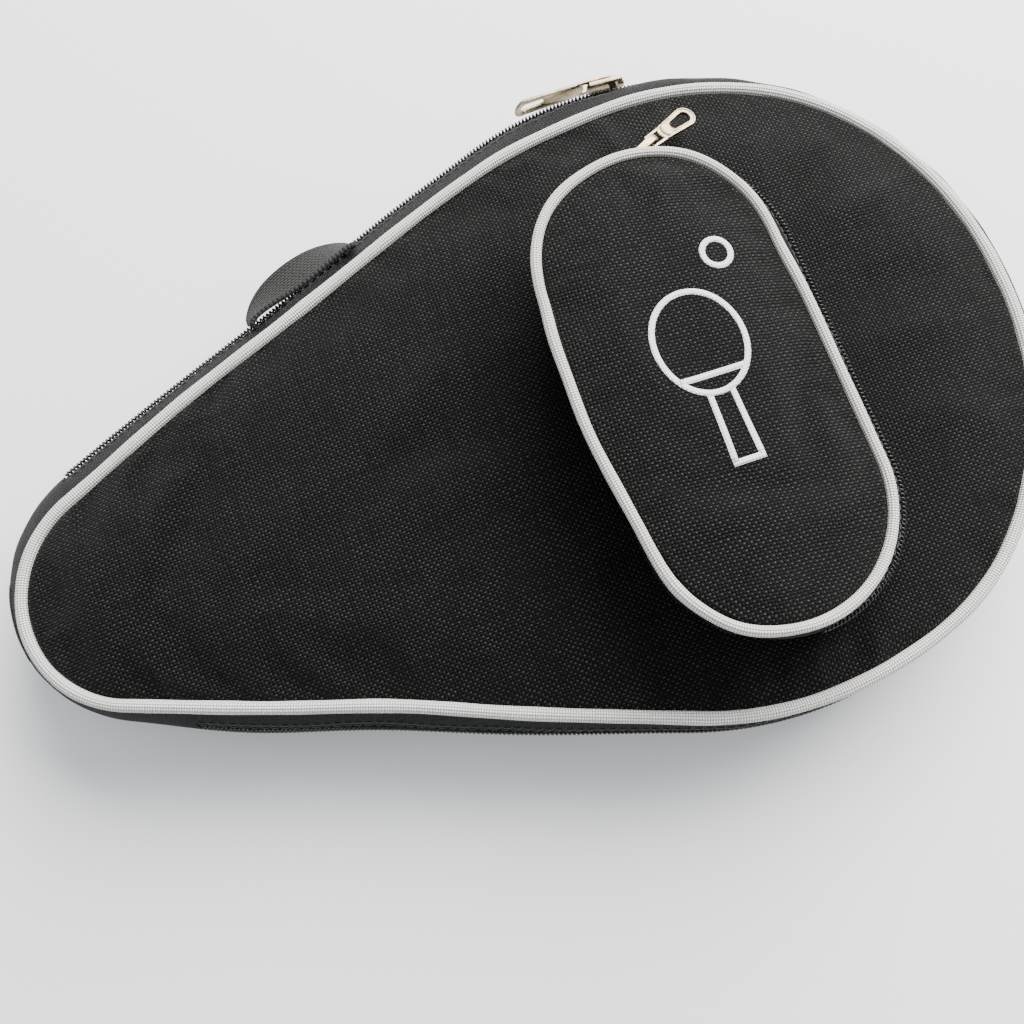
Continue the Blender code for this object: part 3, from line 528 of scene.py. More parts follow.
def piping_look(name, colour, shade):
    """Off-white woven tape pulled tight over a cord, with painted shade in the weave pits and a
    painted highlight on the knuckles.
    """
    look = Look(name)
    place, along, across = look.flat_uv()
    height, sign = look.weave(along, across, 0.74, 0.95)
    yarn = look.noise(place, 0.7, 3.0, (0.12, 1.6, 1.0))
    soil = look.noise(place, 0.05, 4.0)
    # The ramp runs from painted shade in the weave pits (shade) through the tape's colour to a
    # painted highlight on the knuckles (light); the soil below is real grime.
    tone = look.times(height, look.spread(yarn, 0.3, 0.7, 0.8, 1.15))
    light = [min(1.0, channel * 1.08) for channel in colour]
    base = look.ramp(tone, (0.05, shade), (0.42, colour), (0.9, light))
    dirty = (colour[0] * 0.62, colour[1] * 0.6, colour[2] * 0.55, 1.0)
    base = look.blend_colour(look.spread(soil, 0.45, 0.75, 0.0, 0.45), base, dirty)
    return look.finish(base, 0.72, height, 0.34, sheen=0.2, specular=0.3)


def nylon_look():
    """Moulded black monofilament of the zips' coils."""
    look = Look("coil_nylon")
    grain = look.noise(look.object_place(), 900.0, 2.0)
    base = look.ramp(grain, (0.3, (0.004, 0.004, 0.0045)), (0.7, (0.014, 0.014, 0.0145)))
    return look.finish(base, look.spread(grain, 0.3, 0.7, 0.32, 0.5), grain, 0.02)


def metal_look():
    """Pale gold plating on die-cast zinc, slightly cloudy, with fine scuffs."""
    look = Look("plated_metal")
    place = look.object_place()
    cloud = look.noise(place, 260.0, 4.0)
    scuff = look.noise(place, 1500.0, 3.0, (1.0, 6.0, 1.0))
    base = look.ramp(cloud, (0.25, (0.15, 0.115, 0.07)), (0.7, (0.40, 0.335, 0.225)))
    mixed = look.math("ADD", look.times(cloud, 0.18), look.times(scuff, 0.12))
    rough = look.math("ADD", mixed, 0.12)
    height = look.math("ADD", cloud, scuff)
    return look.finish(base, rough, height, 0.025, metallic=1.0, coat=0.1, coat_rough=0.12)


def foam_look():
    """Closed-cell padding foam."""
    look = Look("padding_foam")
    cells = look.noise(look.object_place(), 1600.0, 3.0)
    base = look.ramp(cells, (0.3, (0.03, 0.03, 0.033)), (0.7, (0.075, 0.075, 0.08)))
    return look.finish(base, 0.9, cells, 0.15)


def thread_look(name, colour):
    """Twisted sewing thread."""
    look = Look(name)
    twist = look.noise(look.object_place(), 3000.0, 1.0)
    base = look.ramp(twist, (0.3, [c * 0.7 for c in colour]), (0.7, colour))
    return look.finish(base, 0.6, twist, 0.05, sheen=0.2)


def print_look():
    """White screen-print ink that lets the weave show through."""
    look = Look("screen_print")
    place, along, across = look.flat_uv()
    height, sign = look.weave(along, across, 0.92, 0.92)
    wear = look.noise(place, 0.6, 4.0)
    tone = look.times(height, look.spread(wear, 0.35, 0.65, 0.8, 1.1))
    base = look.ramp(tone, (0.02, (0.42, 0.42, 0.42)), (0.3, (0.86, 0.86, 0.85)))
    return look.finish(base, 0.6, height, 0.15)


def table_look():
    """Pale matt table top."""
    look = Look("pale_table")
    place = look.object_place()
    cloud = look.noise(place, 2.2, 3.0)
    base = look.ramp(cloud, (0.3, (0.90, 0.905, 0.915)), (0.7, (0.94, 0.945, 0.95)))
    return look.finish(base, 0.75, look.noise(place, 700.0, 2.0), 0.02)


# Cloth ramps run from painted shade in the weave pits, through the cloth's own colour, to a painted
# highlight on the knuckles.
CLOTH_PIT_SHADE_TO_HIGHLIGHT = ((0.0002, 0.0002, 0.0002), (0.0016, 0.0016, 0.0015), (0.040, 0.039, 0.037))
PANEL_CLOTH = cloth_look("panel_weave", CLOTH_PIT_SHADE_TO_HIGHLIGHT, (0.96, 0.86), 0.5, 0.30, 0.04)
FACE_CLOTH = cloth_look("face_weave", CLOTH_PIT_SHADE_TO_HIGHLIGHT, (0.92, 0.92), 0.5, 0.30, 0.04, -5.6)
# The side walls take a darker copy of the panel cloth: painted shade for the walls.
WALL_SHADED_PIT_TO_HIGHLIGHT = ((0.0003, 0.0003, 0.0003), (0.0012, 0.0012, 0.0012), (0.011, 0.0108, 0.0105))
GUSSET_SHADED_CLOTH = cloth_look("gusset_weave_shaded", WALL_SHADED_PIT_TO_HIGHLIGHT, (0.94, 0.90), 0.58, 0.26, 0.03)
# The lining's ramp is likewise painted pit shade up to a painted knuckle highlight.
LINING_PIT_SHADE_TO_HIGHLIGHT = ((0.018, 0.018, 0.02), (0.035, 0.035, 0.038), (0.055, 0.055, 0.06))
LINING_CLOTH = cloth_look("lining_weave", LINING_PIT_SHADE_TO_HIGHLIGHT, (0.5, 0.5), 0.8, 0.08, 0.6)
# Ribbed ramps run from painted shade in the grooves to a painted highlight on the ribs.
TAPE_CLOTH = ribbed_look(
    "zip_tape", ((0.0015, 0.0015, 0.0016), (0.0075, 0.0075, 0.0078)), (0.55, 0.9), 0.6, 0.08
)
BINDING_CLOTH = ribbed_look(
    "binding_grosgrain", ((0.004, 0.004, 0.0045), (0.014, 0.014, 0.0145)), (0.7, 1.2), 0.7, 0.1
)
WEBBING_CLOTH = ribbed_look(
    "loop_webbing", ((0.0003, 0.0003, 0.0003), (0.030, 0.0292, 0.028)), (1.2, 1.5), 0.6, 0.6, True
)
# Piping colours: the tape's own off-white, then painted shade for its weave pits.
MAIN_PIPING = piping_look("piping_white", (0.84, 0.83, 0.80), (0.24, 0.235, 0.225))
FACE_PIPING = piping_look("piping_cream", (0.82, 0.80, 0.745), (0.24, 0.23, 0.205))
NYLON = nylon_look()
METAL = metal_look()
FOAM = foam_look()
DARK_THREAD = thread_look("dark_thread", (0.012, 0.012, 0.0125))
PRINT = print_look()


# ---------------------------------------------------------------- mesh tools

def in_world(points):
    """Case millimetres as world metres."""
    return (np.asarray(points, float) + CASE_PLACE) * MM


def mesh_object(name, points, faces, material, uvs=None):
    """Smooth-shaded object from world metres; uvs are per point."""
    mesh = bpy.data.meshes.new(name)
    mesh.from_pydata([tuple(point) for point in points], [], faces)
    mesh.update()
    if uvs is not None:
        layer = mesh.uv_layers.new(name="grain")
        corners = np.zeros(len(mesh.loops), dtype=np.int64)
        mesh.loops.foreach_get("vertex_index", corners)
        layer.data.foreach_set("uv", np.asarray(uvs, float)[corners].ravel())
    mesh.shade_smooth()
    piece = bpy.data.objects.new(name, mesh)
    piece.data.materials.append(material)
    bpy.context.scene.collection.objects.link(piece)
    return piece


def baked(piece):
    """Piece with its modifiers applied."""
    bpy.context.view_layer.update()
    evaluated = piece.evaluated_get(bpy.context.evaluated_depsgraph_get())
    mesh = bpy.data.meshes.new_from_object(evaluated)
    piece.modifiers.clear()
    old = piece.data
    piece.data = mesh
    mesh.name = piece.name
    bpy.data.meshes.remove(old)
    return piece


def weld(piece):
    """Join the points that coincide, such as where a ring closes."""
    shape = bmesh.new()
    shape.from_mesh(piece.data)
    bmesh.ops.remove_doubles(shape, verts=shape.verts, dist=2e-6)
    shape.to_mesh(piece.data)
    shape.free()
    return piece


def thicken(piece, thickness):
    """Give a sheet its thickness, away from its face."""
    shell = piece.modifiers.new("thickness", "SOLIDIFY")
    shell.thickness = thickness * MM
    shell.offset = -1.0
    shell.use_even_offset = False
    return baked(piece)


def grid_piece(name, grid, uvs, material, thickness=0.0, flip=False):
    """Sheet from a grid of case millimetres, thickened away from its face."""
    rows, columns = grid.shape[:2]
    faces = []
    for row in range(rows - 1):
        for corner in range(row * columns, (row + 1) * columns - 1):
            face = (corner, corner + columns, corner + columns + 1, corner + 1)
            faces.append(face[::-1] if flip else face)
    piece = mesh_object(name, in_world(grid.reshape(-1, 3)), faces, material, uvs.reshape(-1, 2))
    weld(piece)
    return thicken(piece, thickness) if thickness else piece


def dress(piece, body, node):
    """Hide the imported node that a piece takes the place of, and attach the piece to its body."""
    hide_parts(node)
    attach(piece, body)


def run_lengths(path):
    """Length along a path at each of its points."""
    steps = np.linalg.norm(np.diff(path, axis=0), axis=1)
    return np.concatenate(((0.0,), np.cumsum(steps)))


def along_path(path, places):
    """Points at lengths along a path."""
    lengths = run_lengths(path)
    axes = range(path.shape[1])
    return np.column_stack([np.interp(places, lengths, path[:, axis]) for axis in axes])


def unit(vectors):
    """Vectors at length one."""
    return vectors / np.maximum(np.linalg.norm(vectors, axis=-1), 1e-9)[..., None]


def quads(here, there, size, turned=False):
    """Faces between two rings of points."""
    faces = []
    for near in range(size):
        far = (near + 1) % size
        if turned:
            faces.append((here + near, here + far, there + far, there + near))
        else:
            faces.append((here + near, there + near, there + far, here + far))
    return faces


def sweep(path, ups, section):
    """Points and faces of a section swept along a path; ups point to its second axis."""
    path = np.asarray(path, float)
    tangents = unit(np.gradient(path, axis=0))
    sides = unit(np.cross(np.broadcast_to(np.asarray(ups, float), path.shape), tangents))
    rises = np.cross(tangents, sides)
    points = (
        path[:, None, :]
        + sides[:, None, :] * section[None, :, :1]
        + rises[:, None, :] * section[None, :, 1:]
    )
    size = len(section)
    last = (len(path) - 1) * size
    faces = []
    for here in range(0, last, size):
        faces += quads(here, here + size, size)
    faces.append(tuple(range(size)))
    faces.append(tuple(range(last + size - 1, last - 1, -1)))
    return points.reshape(-1, 3), faces


def circle(radius, sides):
    """Round section."""
    turns = 2.0 * pi * (np.arange(sides) + 0.5) / sides
    return radius * np.column_stack((np.cos(turns), np.sin(turns)))


def soft_box(half_w, half_h, corner):
    """Rectangular section with round corners."""
    steps = 3
    points = []
    corners = ((1, 1, 0.0), (-1, 1, 0.5 * pi), (-1, -1, pi), (1, -1, 1.5 * pi))
    for x_side, y_side, start in corners:
        for step in range(steps + 1):
            turn = start + 0.5 * pi * step / steps
            x = x_side * (half_w - corner) + corner * cos(turn)
            y = y_side * (half_h - corner) + corner * sin(turn)
            points.append((x, y))
    return np.array(points)


class Solids:
    """Several closed shells gathered into one piece."""

    def __init__(self):
        self.points = []
        self.faces = []
        self.count = 0

    def add(self, points, faces):
        self.points.append(np.asarray(points, float))
        self.faces += [tuple(index + self.count for index in face) for face in faces]
        self.count += len(points)

    def sweep(self, path, ups, section):
        self.add(*sweep(path, ups, section))

    def piece(self, name, material, flat=True):
        points = np.vstack(self.points)
        piece = mesh_object(name, points * MM, self.faces, material)
        shape = bmesh.new()
        shape.from_mesh(piece.data)
        bmesh.ops.recalc_face_normals(shape, faces=shape.faces)
        shape.to_mesh(piece.data)
        shape.free()
        if flat:
            piece.data.set_sharp_from_angle(angle=radians(42.0))
        return piece


def plate(solids, place, outline, low, high, edge, dome=0.0):
    """Flat plate with rounded edges, on a slider's own axes."""
    loops = [
        (edge, low), (0.3 * edge, low + 0.3 * edge), (0.0, low + edge),
        (0.0, high - edge), (0.3 * edge, high - 0.3 * edge), (edge, high),
    ]
    if dome:
        loops += [(edge + 1.1, high + 0.8 * dome), (edge + 2.0, high + dome)]
    normals = plan_normals(outline)
    points = []
    for inset, height in loops:
        points += [through(place, x, height, y) for x, y in outline - normals * inset]
    size = len(outline)
    last = (len(loops) - 1) * size
    faces = [tuple(range(size)), tuple(range(last, last + size))]
    for here in range(0, last, size):
        faces += quads(here, here + size, size, True)
    solids.add(points, faces)


def ring_plate(solids, outer, inner, sections, place):
    """Plate with a hole: sections give the share from rim to hole, and the height."""
    points = []
    for share, height in sections:
        points += [place(x, y, height) for x, y in outer + (inner - outer) * share]
    size = len(outer)
    faces = []
    for level in range(len(sections)):
        faces += quads(level * size, (level + 1) % len(sections) * size, size, True)
    solids.add(points, faces)


def rounded_outline(start, end, half_start, half_end, count):
    """Outline of a tapered bar with a round far end and a flatter near end."""
    turns = 2.0 * pi * np.arange(count) / count
    along = np.cos(turns)
    depth = 0.75 * half_start
    x = np.where(along >= 0.0, end - half_end + half_end * along, start + depth + depth * along)
    y = np.where(along >= 0.0, half_end, half_start) * np.sin(turns)
    return np.column_stack((x, y))


def stitches(name, path, outward, spacing=STITCH_PITCH, length=STITCH_LENGTH, radius=0.28):
    """Row of thread stitches along a path of case millimetres."""
    total = run_lengths(path)[-1]
    reach = run_lengths(outward)[-1]
    sink = np.array((-0.25, 0.02, 0.1, 0.02, -0.25))[:, None]
    solids = Solids()
    for place in np.arange(0.5 * spacing, total - 0.5 * spacing, spacing):
        points = along_path(path, place + length * np.array((-0.5, -0.36, 0.0, 0.36, 0.5)))
        lift = unit(along_path(outward, np.full(5, place * reach / total)))
        solids.sweep(points + lift * sink + CASE_PLACE, lift, circle(radius, 6))
    return solids.piece(name, DARK_THREAD, flat=False)


# ---------------------------------------------------------------- case cloth

def panel_plan(outline, spine, insets, spacing):
    """Plan of a panel: rings in from its outline, then an even filled middle."""
    gap = spine - outline
    reach = np.linalg.norm(gap, axis=1)[:, None]
    rings = [outline + gap / reach * inset for inset in insets]
    count = len(outline)
    last = rings[-1]
    low = last.min(axis=0)
    high = last.max(axis=0)
    across = np.arange(low[1], high[1], 0.866 * spacing)
    spots = []
    for row, y in enumerate(across):
        shift = 0.5 * spacing * (row % 2)
        spots += [(x + shift, y) for x in np.arange(low[0], high[0], spacing)]
    spots = np.array(spots)
    clear = nearest(spots, outline) > insets[-1] + 0.55 * spacing
    inside = spots[clear & within(spots, last)]
    points = [Vector(point) for point in np.vstack((last, inside))]
    edges = [(index, (index + 1) % count) for index in range(count)]
    filled = delaunay_2d_cdt(points, edges, [], 1, 1e-4)
    base = (len(rings) - 1) * count
    faces = []
    for here in range(0, base, count):
        faces += quads(here, here + count, count)
    middle = np.array([tuple(point) for point in filled[0]])
    faces += [tuple(base + index for index in face)[::-1] for face in filled[2]]
    return np.vstack(rings[:-1] + [middle]), faces


def within(points, outline):
    """Which plan points lie inside an outline."""
    inside = np.zeros(len(points), dtype=bool)
    for start, end in zip(outline, np.roll(outline, -1, axis=0)):
        crosses = (start[1] > points[:, 1]) != (end[1] > points[:, 1])
        rise = end[1] - start[1]
        rise = rise if abs(rise) > 1e-9 else 1e-9
        reach = start[0] + (points[:, 1] - start[1]) * (end[0] - start[0]) / rise
        inside ^= crosses & (points[:, 0] < reach)
    return inside


def lifted(plan, height):
    """Plan points at a surface's height."""
    parts = np.array_split(plan, 16)
    return np.column_stack((plan, np.concatenate([height(part) for part in parts])))


def case_spine(outline):
    """Nearest points of the case's middle line."""
    return np.column_stack((np.clip(outline[:, 0], HANDLE_X, 0.0), np.zeros(len(outline))))


def pocket_spine(outline):
    """Nearest points of the pocket's middle line."""
    low = np.clip(outline[:, 1], POCKET_BOTTOM[1], POCKET_TOP[1])
    return np.column_stack((np.full(len(outline), POCKET_TOP[0]), low))


def settle(piece, pull):
    """Let the sewn cloth draw up a little, held at its seam, then keep that shape."""
    mesh = piece.data
    before = np.zeros(len(mesh.vertices) * 3)
    mesh.vertices.foreach_get("co", before)
    before = before.reshape(-1, 3)
    shape = bmesh.new()
    shape.from_mesh(mesh)
    edge = {vert.index for vert in shape.verts if vert.is_boundary}
    near = set(edge)
    for ring in range(HELD_RINGS):
        for vert in shape.verts:
            if vert.index in edge:
                near.update(link.other_vert(vert).index for link in vert.link_edges)
        edge = set(near)
    shape.free()
    held = piece.vertex_groups.new(name="held")
    held.add(sorted(near), 1.0, "REPLACE")
    cloth = piece.modifiers.new("cloth", "CLOTH")
    settings = cloth.settings
    settings.quality = 6
    settings.mass = 0.15
    settings.tension_stiffness = CLOTH_STIFFNESS
    settings.compression_stiffness = CLOTH_STIFFNESS
    settings.shear_stiffness = CLOTH_STIFFNESS * 0.5
    settings.bending_stiffness = 0.8
    settings.vertex_group_mass = "held"
    settings.shrink_min = pull
    settings.shrink_max = pull
    settings.use_pressure = True
    settings.uniform_pressure_force = CLOTH_PRESSURE
    settings.effector_weights.gravity = 0.0
    cloth.collision_settings.use_collision = False
    scene = bpy.context.scene
    for number in range(1, CLOTH_FRAMES + 1):
        scene.frame_set(number)
    bpy.context.view_layer.update()
    evaluated = piece.evaluated_get(bpy.context.evaluated_depsgraph_get())
    after = np.zeros(len(mesh.vertices) * 3)
    evaluated.data.vertices.foreach_get("co", after)
    after = after.reshape(-1, 3)
    piece.modifiers.clear()
    scene.frame_set(1)
    move = after - before
    size = np.linalg.norm(move, axis=1)[:, None]
    move = move * np.minimum(1.0, CLOTH_CAP * MM / np.maximum(size, 1e-9))
    mesh.vertices.foreach_set("co", (before + move).ravel())
    mesh.update()
    return piece


def sewn_panel(name, outline, spine, height, thickness, material, flip, pull=None):
    """Panel cloth from its seam inward, thickened away from its outer face."""
    plan, faces = panel_plan(outline, spine, RING_INSETS, MIDDLE_SPACING)
    if flip:
        faces = [face[::-1] for face in faces]
    piece = mesh_object(name, in_world(lifted(plan, height)), faces, material, plan)
    if pull:
        settle(piece, pull)
    return thicken(piece, thickness)


def pad_piece(name, outline, spine, low, high, material):
    """Foam pad between two surfaces, a little in from the seam."""
    plan, faces = panel_plan(outline, spine, PAD_INSETS, 2.0 * MIDDLE_SPACING)
    size = len(plan)
    count = len(outline)
    points = np.vstack((lifted(plan, low), lifted(plan, high)))
    top = [tuple(index + size for index in face[::-1]) for face in faces]
    rim = quads(0, size, count, True)
    return mesh_object(name, in_world(points), faces + top + rim, material, np.vstack((plan, plan)))


# ---------------------------------------------------------------- walls

def bulge():
    """Extra swell of the front gusset on the blade's far side."""
    around = np.degrees(np.arctan2(SEAM[:, 1], SEAM[:, 0]))
    rise = np.clip((around + 62.0) / 20.0, 0.0, 1.0)
    fall = np.clip((88.0 - around) / 16.0, 0.0, 1.0)
    blade = np.where(SEAM[:, 0] > -20.0, 1.0, 0.0)
    return 2.4 * (rise * fall) ** 2 * (3.0 - 2.0 * rise * fall) * blade


SWELL = bulge()


def wall_rows(start, end, levels, depth, seam_z, swell=0.0):
    """Grid of the case's side wall between two levels, as case millimetres."""
    steps = np.arange(start, end + 1)
    here = steps % (RING * DENSE)
    ripple = 0.22 * np.sin(0.55 * steps) * np.sin(0.083 * steps)
    rows = []
    for level in levels:
        middle = SEAM[here] + (ZIP[here] - SEAM[here]) * barrel(level)
        push = swell * SWELL[here] * sin(pi * level ** 0.55) + ripple * sin(pi * level) - depth
        plan = middle + ZIP_NORMALS[here] * push[:, None]
        rows.append(with_height(plan, seam_z + (ZIP_Z - seam_z) * level))
    return np.array(rows)


def strip_piece(name, rows, thickness, material, flip):
    """Strip of cloth with its grain and cut size."""
    steps = np.linalg.norm(np.diff(rows, axis=0), axis=2).mean(axis=1)
    along = run_lengths(rows[len(rows) // 2])
    across = np.concatenate(((0.0,), np.cumsum(steps)))
    grain = np.stack(np.meshgrid(along, across), axis=2)
    piece = grid_piece(name, rows, grain, material, thickness, flip)
    return piece


def coil_piece(name, path, outward, sense, pitch=COIL_PITCH, reach=0.95, depth=0.5, wire=0.36):
    """Nylon spiral sewn along a tape edge; sense is up or down to its tape."""
    lengths = run_lengths(path)
    turns = int(lengths[-1] / pitch)
    places = np.linspace(0.0, turns * pitch, turns * 8 + 1)
    middle = along_path(path, places)
    out = unit(np.column_stack([np.interp(places, lengths, side) for side in outward.T]))
    phase = 2.0 * pi * places / pitch
    rise = np.array((0.0, 0.0, sense)) * (reach * np.sin(phase))[:, None]
    curve = middle + out * (depth * np.cos(phase))[:, None] + rise
    solids = Solids()
    solids.sweep(curve + CASE_PLACE, unit(np.gradient(middle, axis=0)), circle(wire, 5))
    return solids.piece(name, NYLON, flat=False)


def with_height(plan, heights):
    """Plan points at heights."""
    return np.column_stack((plan, np.broadcast_to(heights, len(plan))))


def piping_piece(name, outline, heights, radius, material, joint_at):
    """Corded piping round a seam, with the overlap where its two ends meet."""
    count = len(outline)
    order = (np.arange(count + 1) + joint_at) % count
    path = with_height(outline[order], heights[order])
    lengths = run_lengths(path)
    normal = plan_normals(outline)[order]
    wobble = 1.0 + 0.022 * np.sin(0.9 * lengths / 3.1 + 0.4) + 0.02 * np.sin(lengths / 7.3)
    from_end = np.minimum(lengths, lengths[-1] - lengths)
    reach = radius * (wobble + 0.10 * np.exp(-((from_end / 5.0) ** 2)))
    rows = []
    grain = []
    for turn in 2.0 * pi * np.arange(15) / 14:
        plan = path[:, :2] + normal * (reach * cos(turn))[:, None]
        rows.append(with_height(plan, path[:, 2] + reach * sin(turn)))
        grain.append(with_height(lengths[:, None], radius * turn))
    return grid_piece(name, np.array(rows), np.array(grain), material, 0.0, True)


def build_half(half, body, seam_z):
    """Cloth, piping, tape, coil, stitches and binding of one half."""
    front = half == "front"
    sense = 1.0 if front else -1.0
    zip_from = HINGE_END * DENSE
    zip_to = (HINGE_START + RING) * DENSE
    levels = np.linspace(0.02 if front else 0.03, 0.6, 9)
    rows = wall_rows(zip_from, zip_to, levels, 0.0, seam_z, 1.0 if front else 0.3)
    gusset = strip_piece(half + "_gusset_cloth", rows, 0.9, GUSSET_SHADED_CLOTH, not front)
    dress(gusset, body, half + "_gusset")

    rows = wall_rows(zip_from, zip_to, np.linspace(0.5, 0.975, 6), 0.7, seam_z)
    tape = strip_piece(half + "_tape_cloth", rows, 0.5, TAPE_CLOTH, not front)
    dress(tape, body, half + "_zipper_tape")

    here = np.arange(zip_from, zip_to + 1) % (RING * DENSE)
    out = with_height(ZIP_NORMALS[here], 0.0)
    path = with_height(ZIP[here] - ZIP_NORMALS[here] * 0.75, ZIP_Z + sense * 1.3)
    coil = coil_piece(half + "_coil_spiral", path, out, sense)
    dress(coil, body, half + "_zipper_coil")
    for label, level, depth in (("tape_stitches", 0.57, -0.12), ("coil_stitches", 0.80, 0.62)):
        row = wall_rows(zip_from, zip_to, (level,), depth, seam_z)[0]
        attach(stitches(half + "_" + label, row, out, radius=0.22), body)

    heights = np.full(RING * DENSE, seam_z)
    joint_at = 43 * DENSE - 22 if front else 30 * DENSE
    piping = piping_piece(half + "_piping_cord", SEAM, heights, PIPING_R, MAIN_PIPING, joint_at)
    dress(piping, body, half + "_piping")

    near = seam_z + (-6.0 if front else 4.0)
    far = near - sense * 4.5
    ring = np.arange(RING * DENSE + 1) % (RING * DENSE)
    rows = []
    for share in np.linspace(0.0, 1.0, 5):
        plan = SEAM[ring] + SEAM_NORMALS[ring] * (0.5 * sin(pi * share) - 0.1 - 3.1)
        rows.append(with_height(plan, near + (far - near) * share))
    name = half + "_binding_tape"
    binding = strip_piece(name, np.array(rows), 0.9, BINDING_CLOTH, False)
    dress(binding, body, half + "_seam_binding")
    row = with_height(SEAM[ring] - SEAM_NORMALS[ring] * 4.15, 0.5 * (near + far))
    inner = with_height(-SEAM_NORMALS[ring], 0.0)
    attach(stitches(half + "_binding_stitches", row, inner), body)


def build_panels():
    """Cloth, foam and lining of the two padded panels."""
    spine = case_spine(SEAM)
    halves = (
        ("front", front_height, True, -0.012, (-4.6, -1.3), -5.2),
        ("back", back_height, False, None, (1.0, 4.1), 4.9),
    )
    for half, height, flip, pull, (low, high), lining_at in halves:

        def moved(rise, surface=height):
            return lambda points: surface(points) + rise

        body = half + "_shell"
        pad = half + "_foam_pad"
        cloth = sewn_panel(
            half + "_panel_cloth", SEAM, spine, height, PANEL_THICK, PANEL_CLOTH, flip, pull
        )
        dress(cloth, body, half + "_panel")
        foam = pad_piece(pad, SEAM, spine, moved(low), moved(high), FOAM)
        dress(foam, body, half + "_foam")
        lining = sewn_panel(
            half + "_lining_cloth", SEAM, spine, moved(lining_at), LINING_THICK, LINING_CLOTH,
            not flip,
        )
        dress(lining, body, half + "_lining")


def build_hinge():
    """Strips round the handle that join the halves, and the cloth that folds between."""
    first = HINGE_START * DENSE
    last = HINGE_END * DENSE
    for half, seam_z in (("back", BACK_SEAM_Z), ("front", FRONT_SEAM_Z)):
        rows = wall_rows(first, last, np.linspace(0.02, 0.985, 10), 0.0, seam_z)
        name = "hinge_gusset_cloth_" + half
        strip = strip_piece(name, rows, 1.0, GUSSET_SHADED_CLOTH, half == "back")
        dress(strip, half + "_shell", "hinge_gusset_" + half)
    first = int((HINGE_START + HINGE_FOLD_AT - HINGE_FOLD_REACH) * DENSE)
    last = int((HINGE_START + HINGE_FOLD_AT + HINGE_FOLD_REACH) * DENSE)
    upper = wall_rows(first, last, np.linspace(0.55, 1.0, 7), -FOLD_LIFT, FRONT_SEAM_Z)
    lower = wall_rows(first, last, np.linspace(1.0, 0.55, 7), -FOLD_LIFT, BACK_SEAM_Z)
    rows = np.concatenate((upper, lower[1:]))
    fold = strip_piece("hinge_fold_cloth", rows, 0.6, GUSSET_SHADED_CLOTH, False)
    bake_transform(fold)


# ---------------------------------------------------------------- sliders

def frame_at(origin, outward, along):
    """Matrix whose x runs along the zip, y outward, z to the free side."""
    x_axis = Vector(along).normalized()
    y_axis = Vector(outward).normalized()
    z_axis = x_axis.cross(y_axis)
    place = Matrix((x_axis, y_axis, z_axis)).transposed().to_4x4()
    place.translation = Vector(origin)
    return place


def through(place, x, y, z):
    """Local point as a world point, in millimetres."""
    return tuple(place @ Vector((x, y, z)))


def slider_outline(half_length, nose, waist, tail, count=48):
    """Plan of a slider's plate: broad nose, drawn-in waist, round tail."""
    points = []
    for step in range(count):
        turn = 2.0 * pi * step / count
        x = half_length * np.sign(cos(turn)) * abs(cos(turn)) ** 0.55
        share = 0.5 + 0.5 * x / half_length
        width = tail + (nose - tail) * share - waist * sin(pi * share) ** 2
        y = width * np.sign(sin(turn)) * abs(sin(turn)) ** 0.55
        points.append((x, y))
    return np.array(points)


def slider_shell(place, plates, neck, flange):
    """Two plates of a slider, the neck that joins them, and its two flanges."""
    along = place.col[0].to_3d()
    outward = place.col[1].to_3d()
    solids = Solids()
    for outline, low, high, edge, dome in plates:
        plate(solids, place, slider_outline(*outline), low, high, edge, dome)
    x, low, high, steps, section = neck
    spine = [through(place, x, y, 0.0) for y in np.linspace(low, high, steps)]
    solids.sweep(spine, along, section)
    reach, height, half_gap, taper, steps, section = flange
    for side in (-1.0, 1.0):
        rail = [
            through(place, x, height, side * (half_gap - taper * (2.0 - x)))
            for x in np.linspace(-reach, reach, steps)
        ]
        solids.sweep(rail, outward, section)
    return solids


def pull_piece(name, place, up, outlines, rim, arms, half_bar, steps):
    """Pull with a hole, its two arms, and the bar that hangs in the crown."""
    solids = Solids()
    ring_plate(solids, *outlines, rim, place)
    half_gap, flare, reach, height, section = arms
    for side in (-1.0, 1.0):
        arm = [
            place(x, side * (half_gap + flare * x), height)
            for x in np.linspace(-0.2, reach, steps)
        ]
        solids.sweep(arm, up, section)
    bar = [place(0.0, width, 0.0) for width in np.linspace(-half_bar, half_bar, steps)]
    solids.sweep(bar, up, circle(0.45, 12))
    return solids.piece(name, METAL)


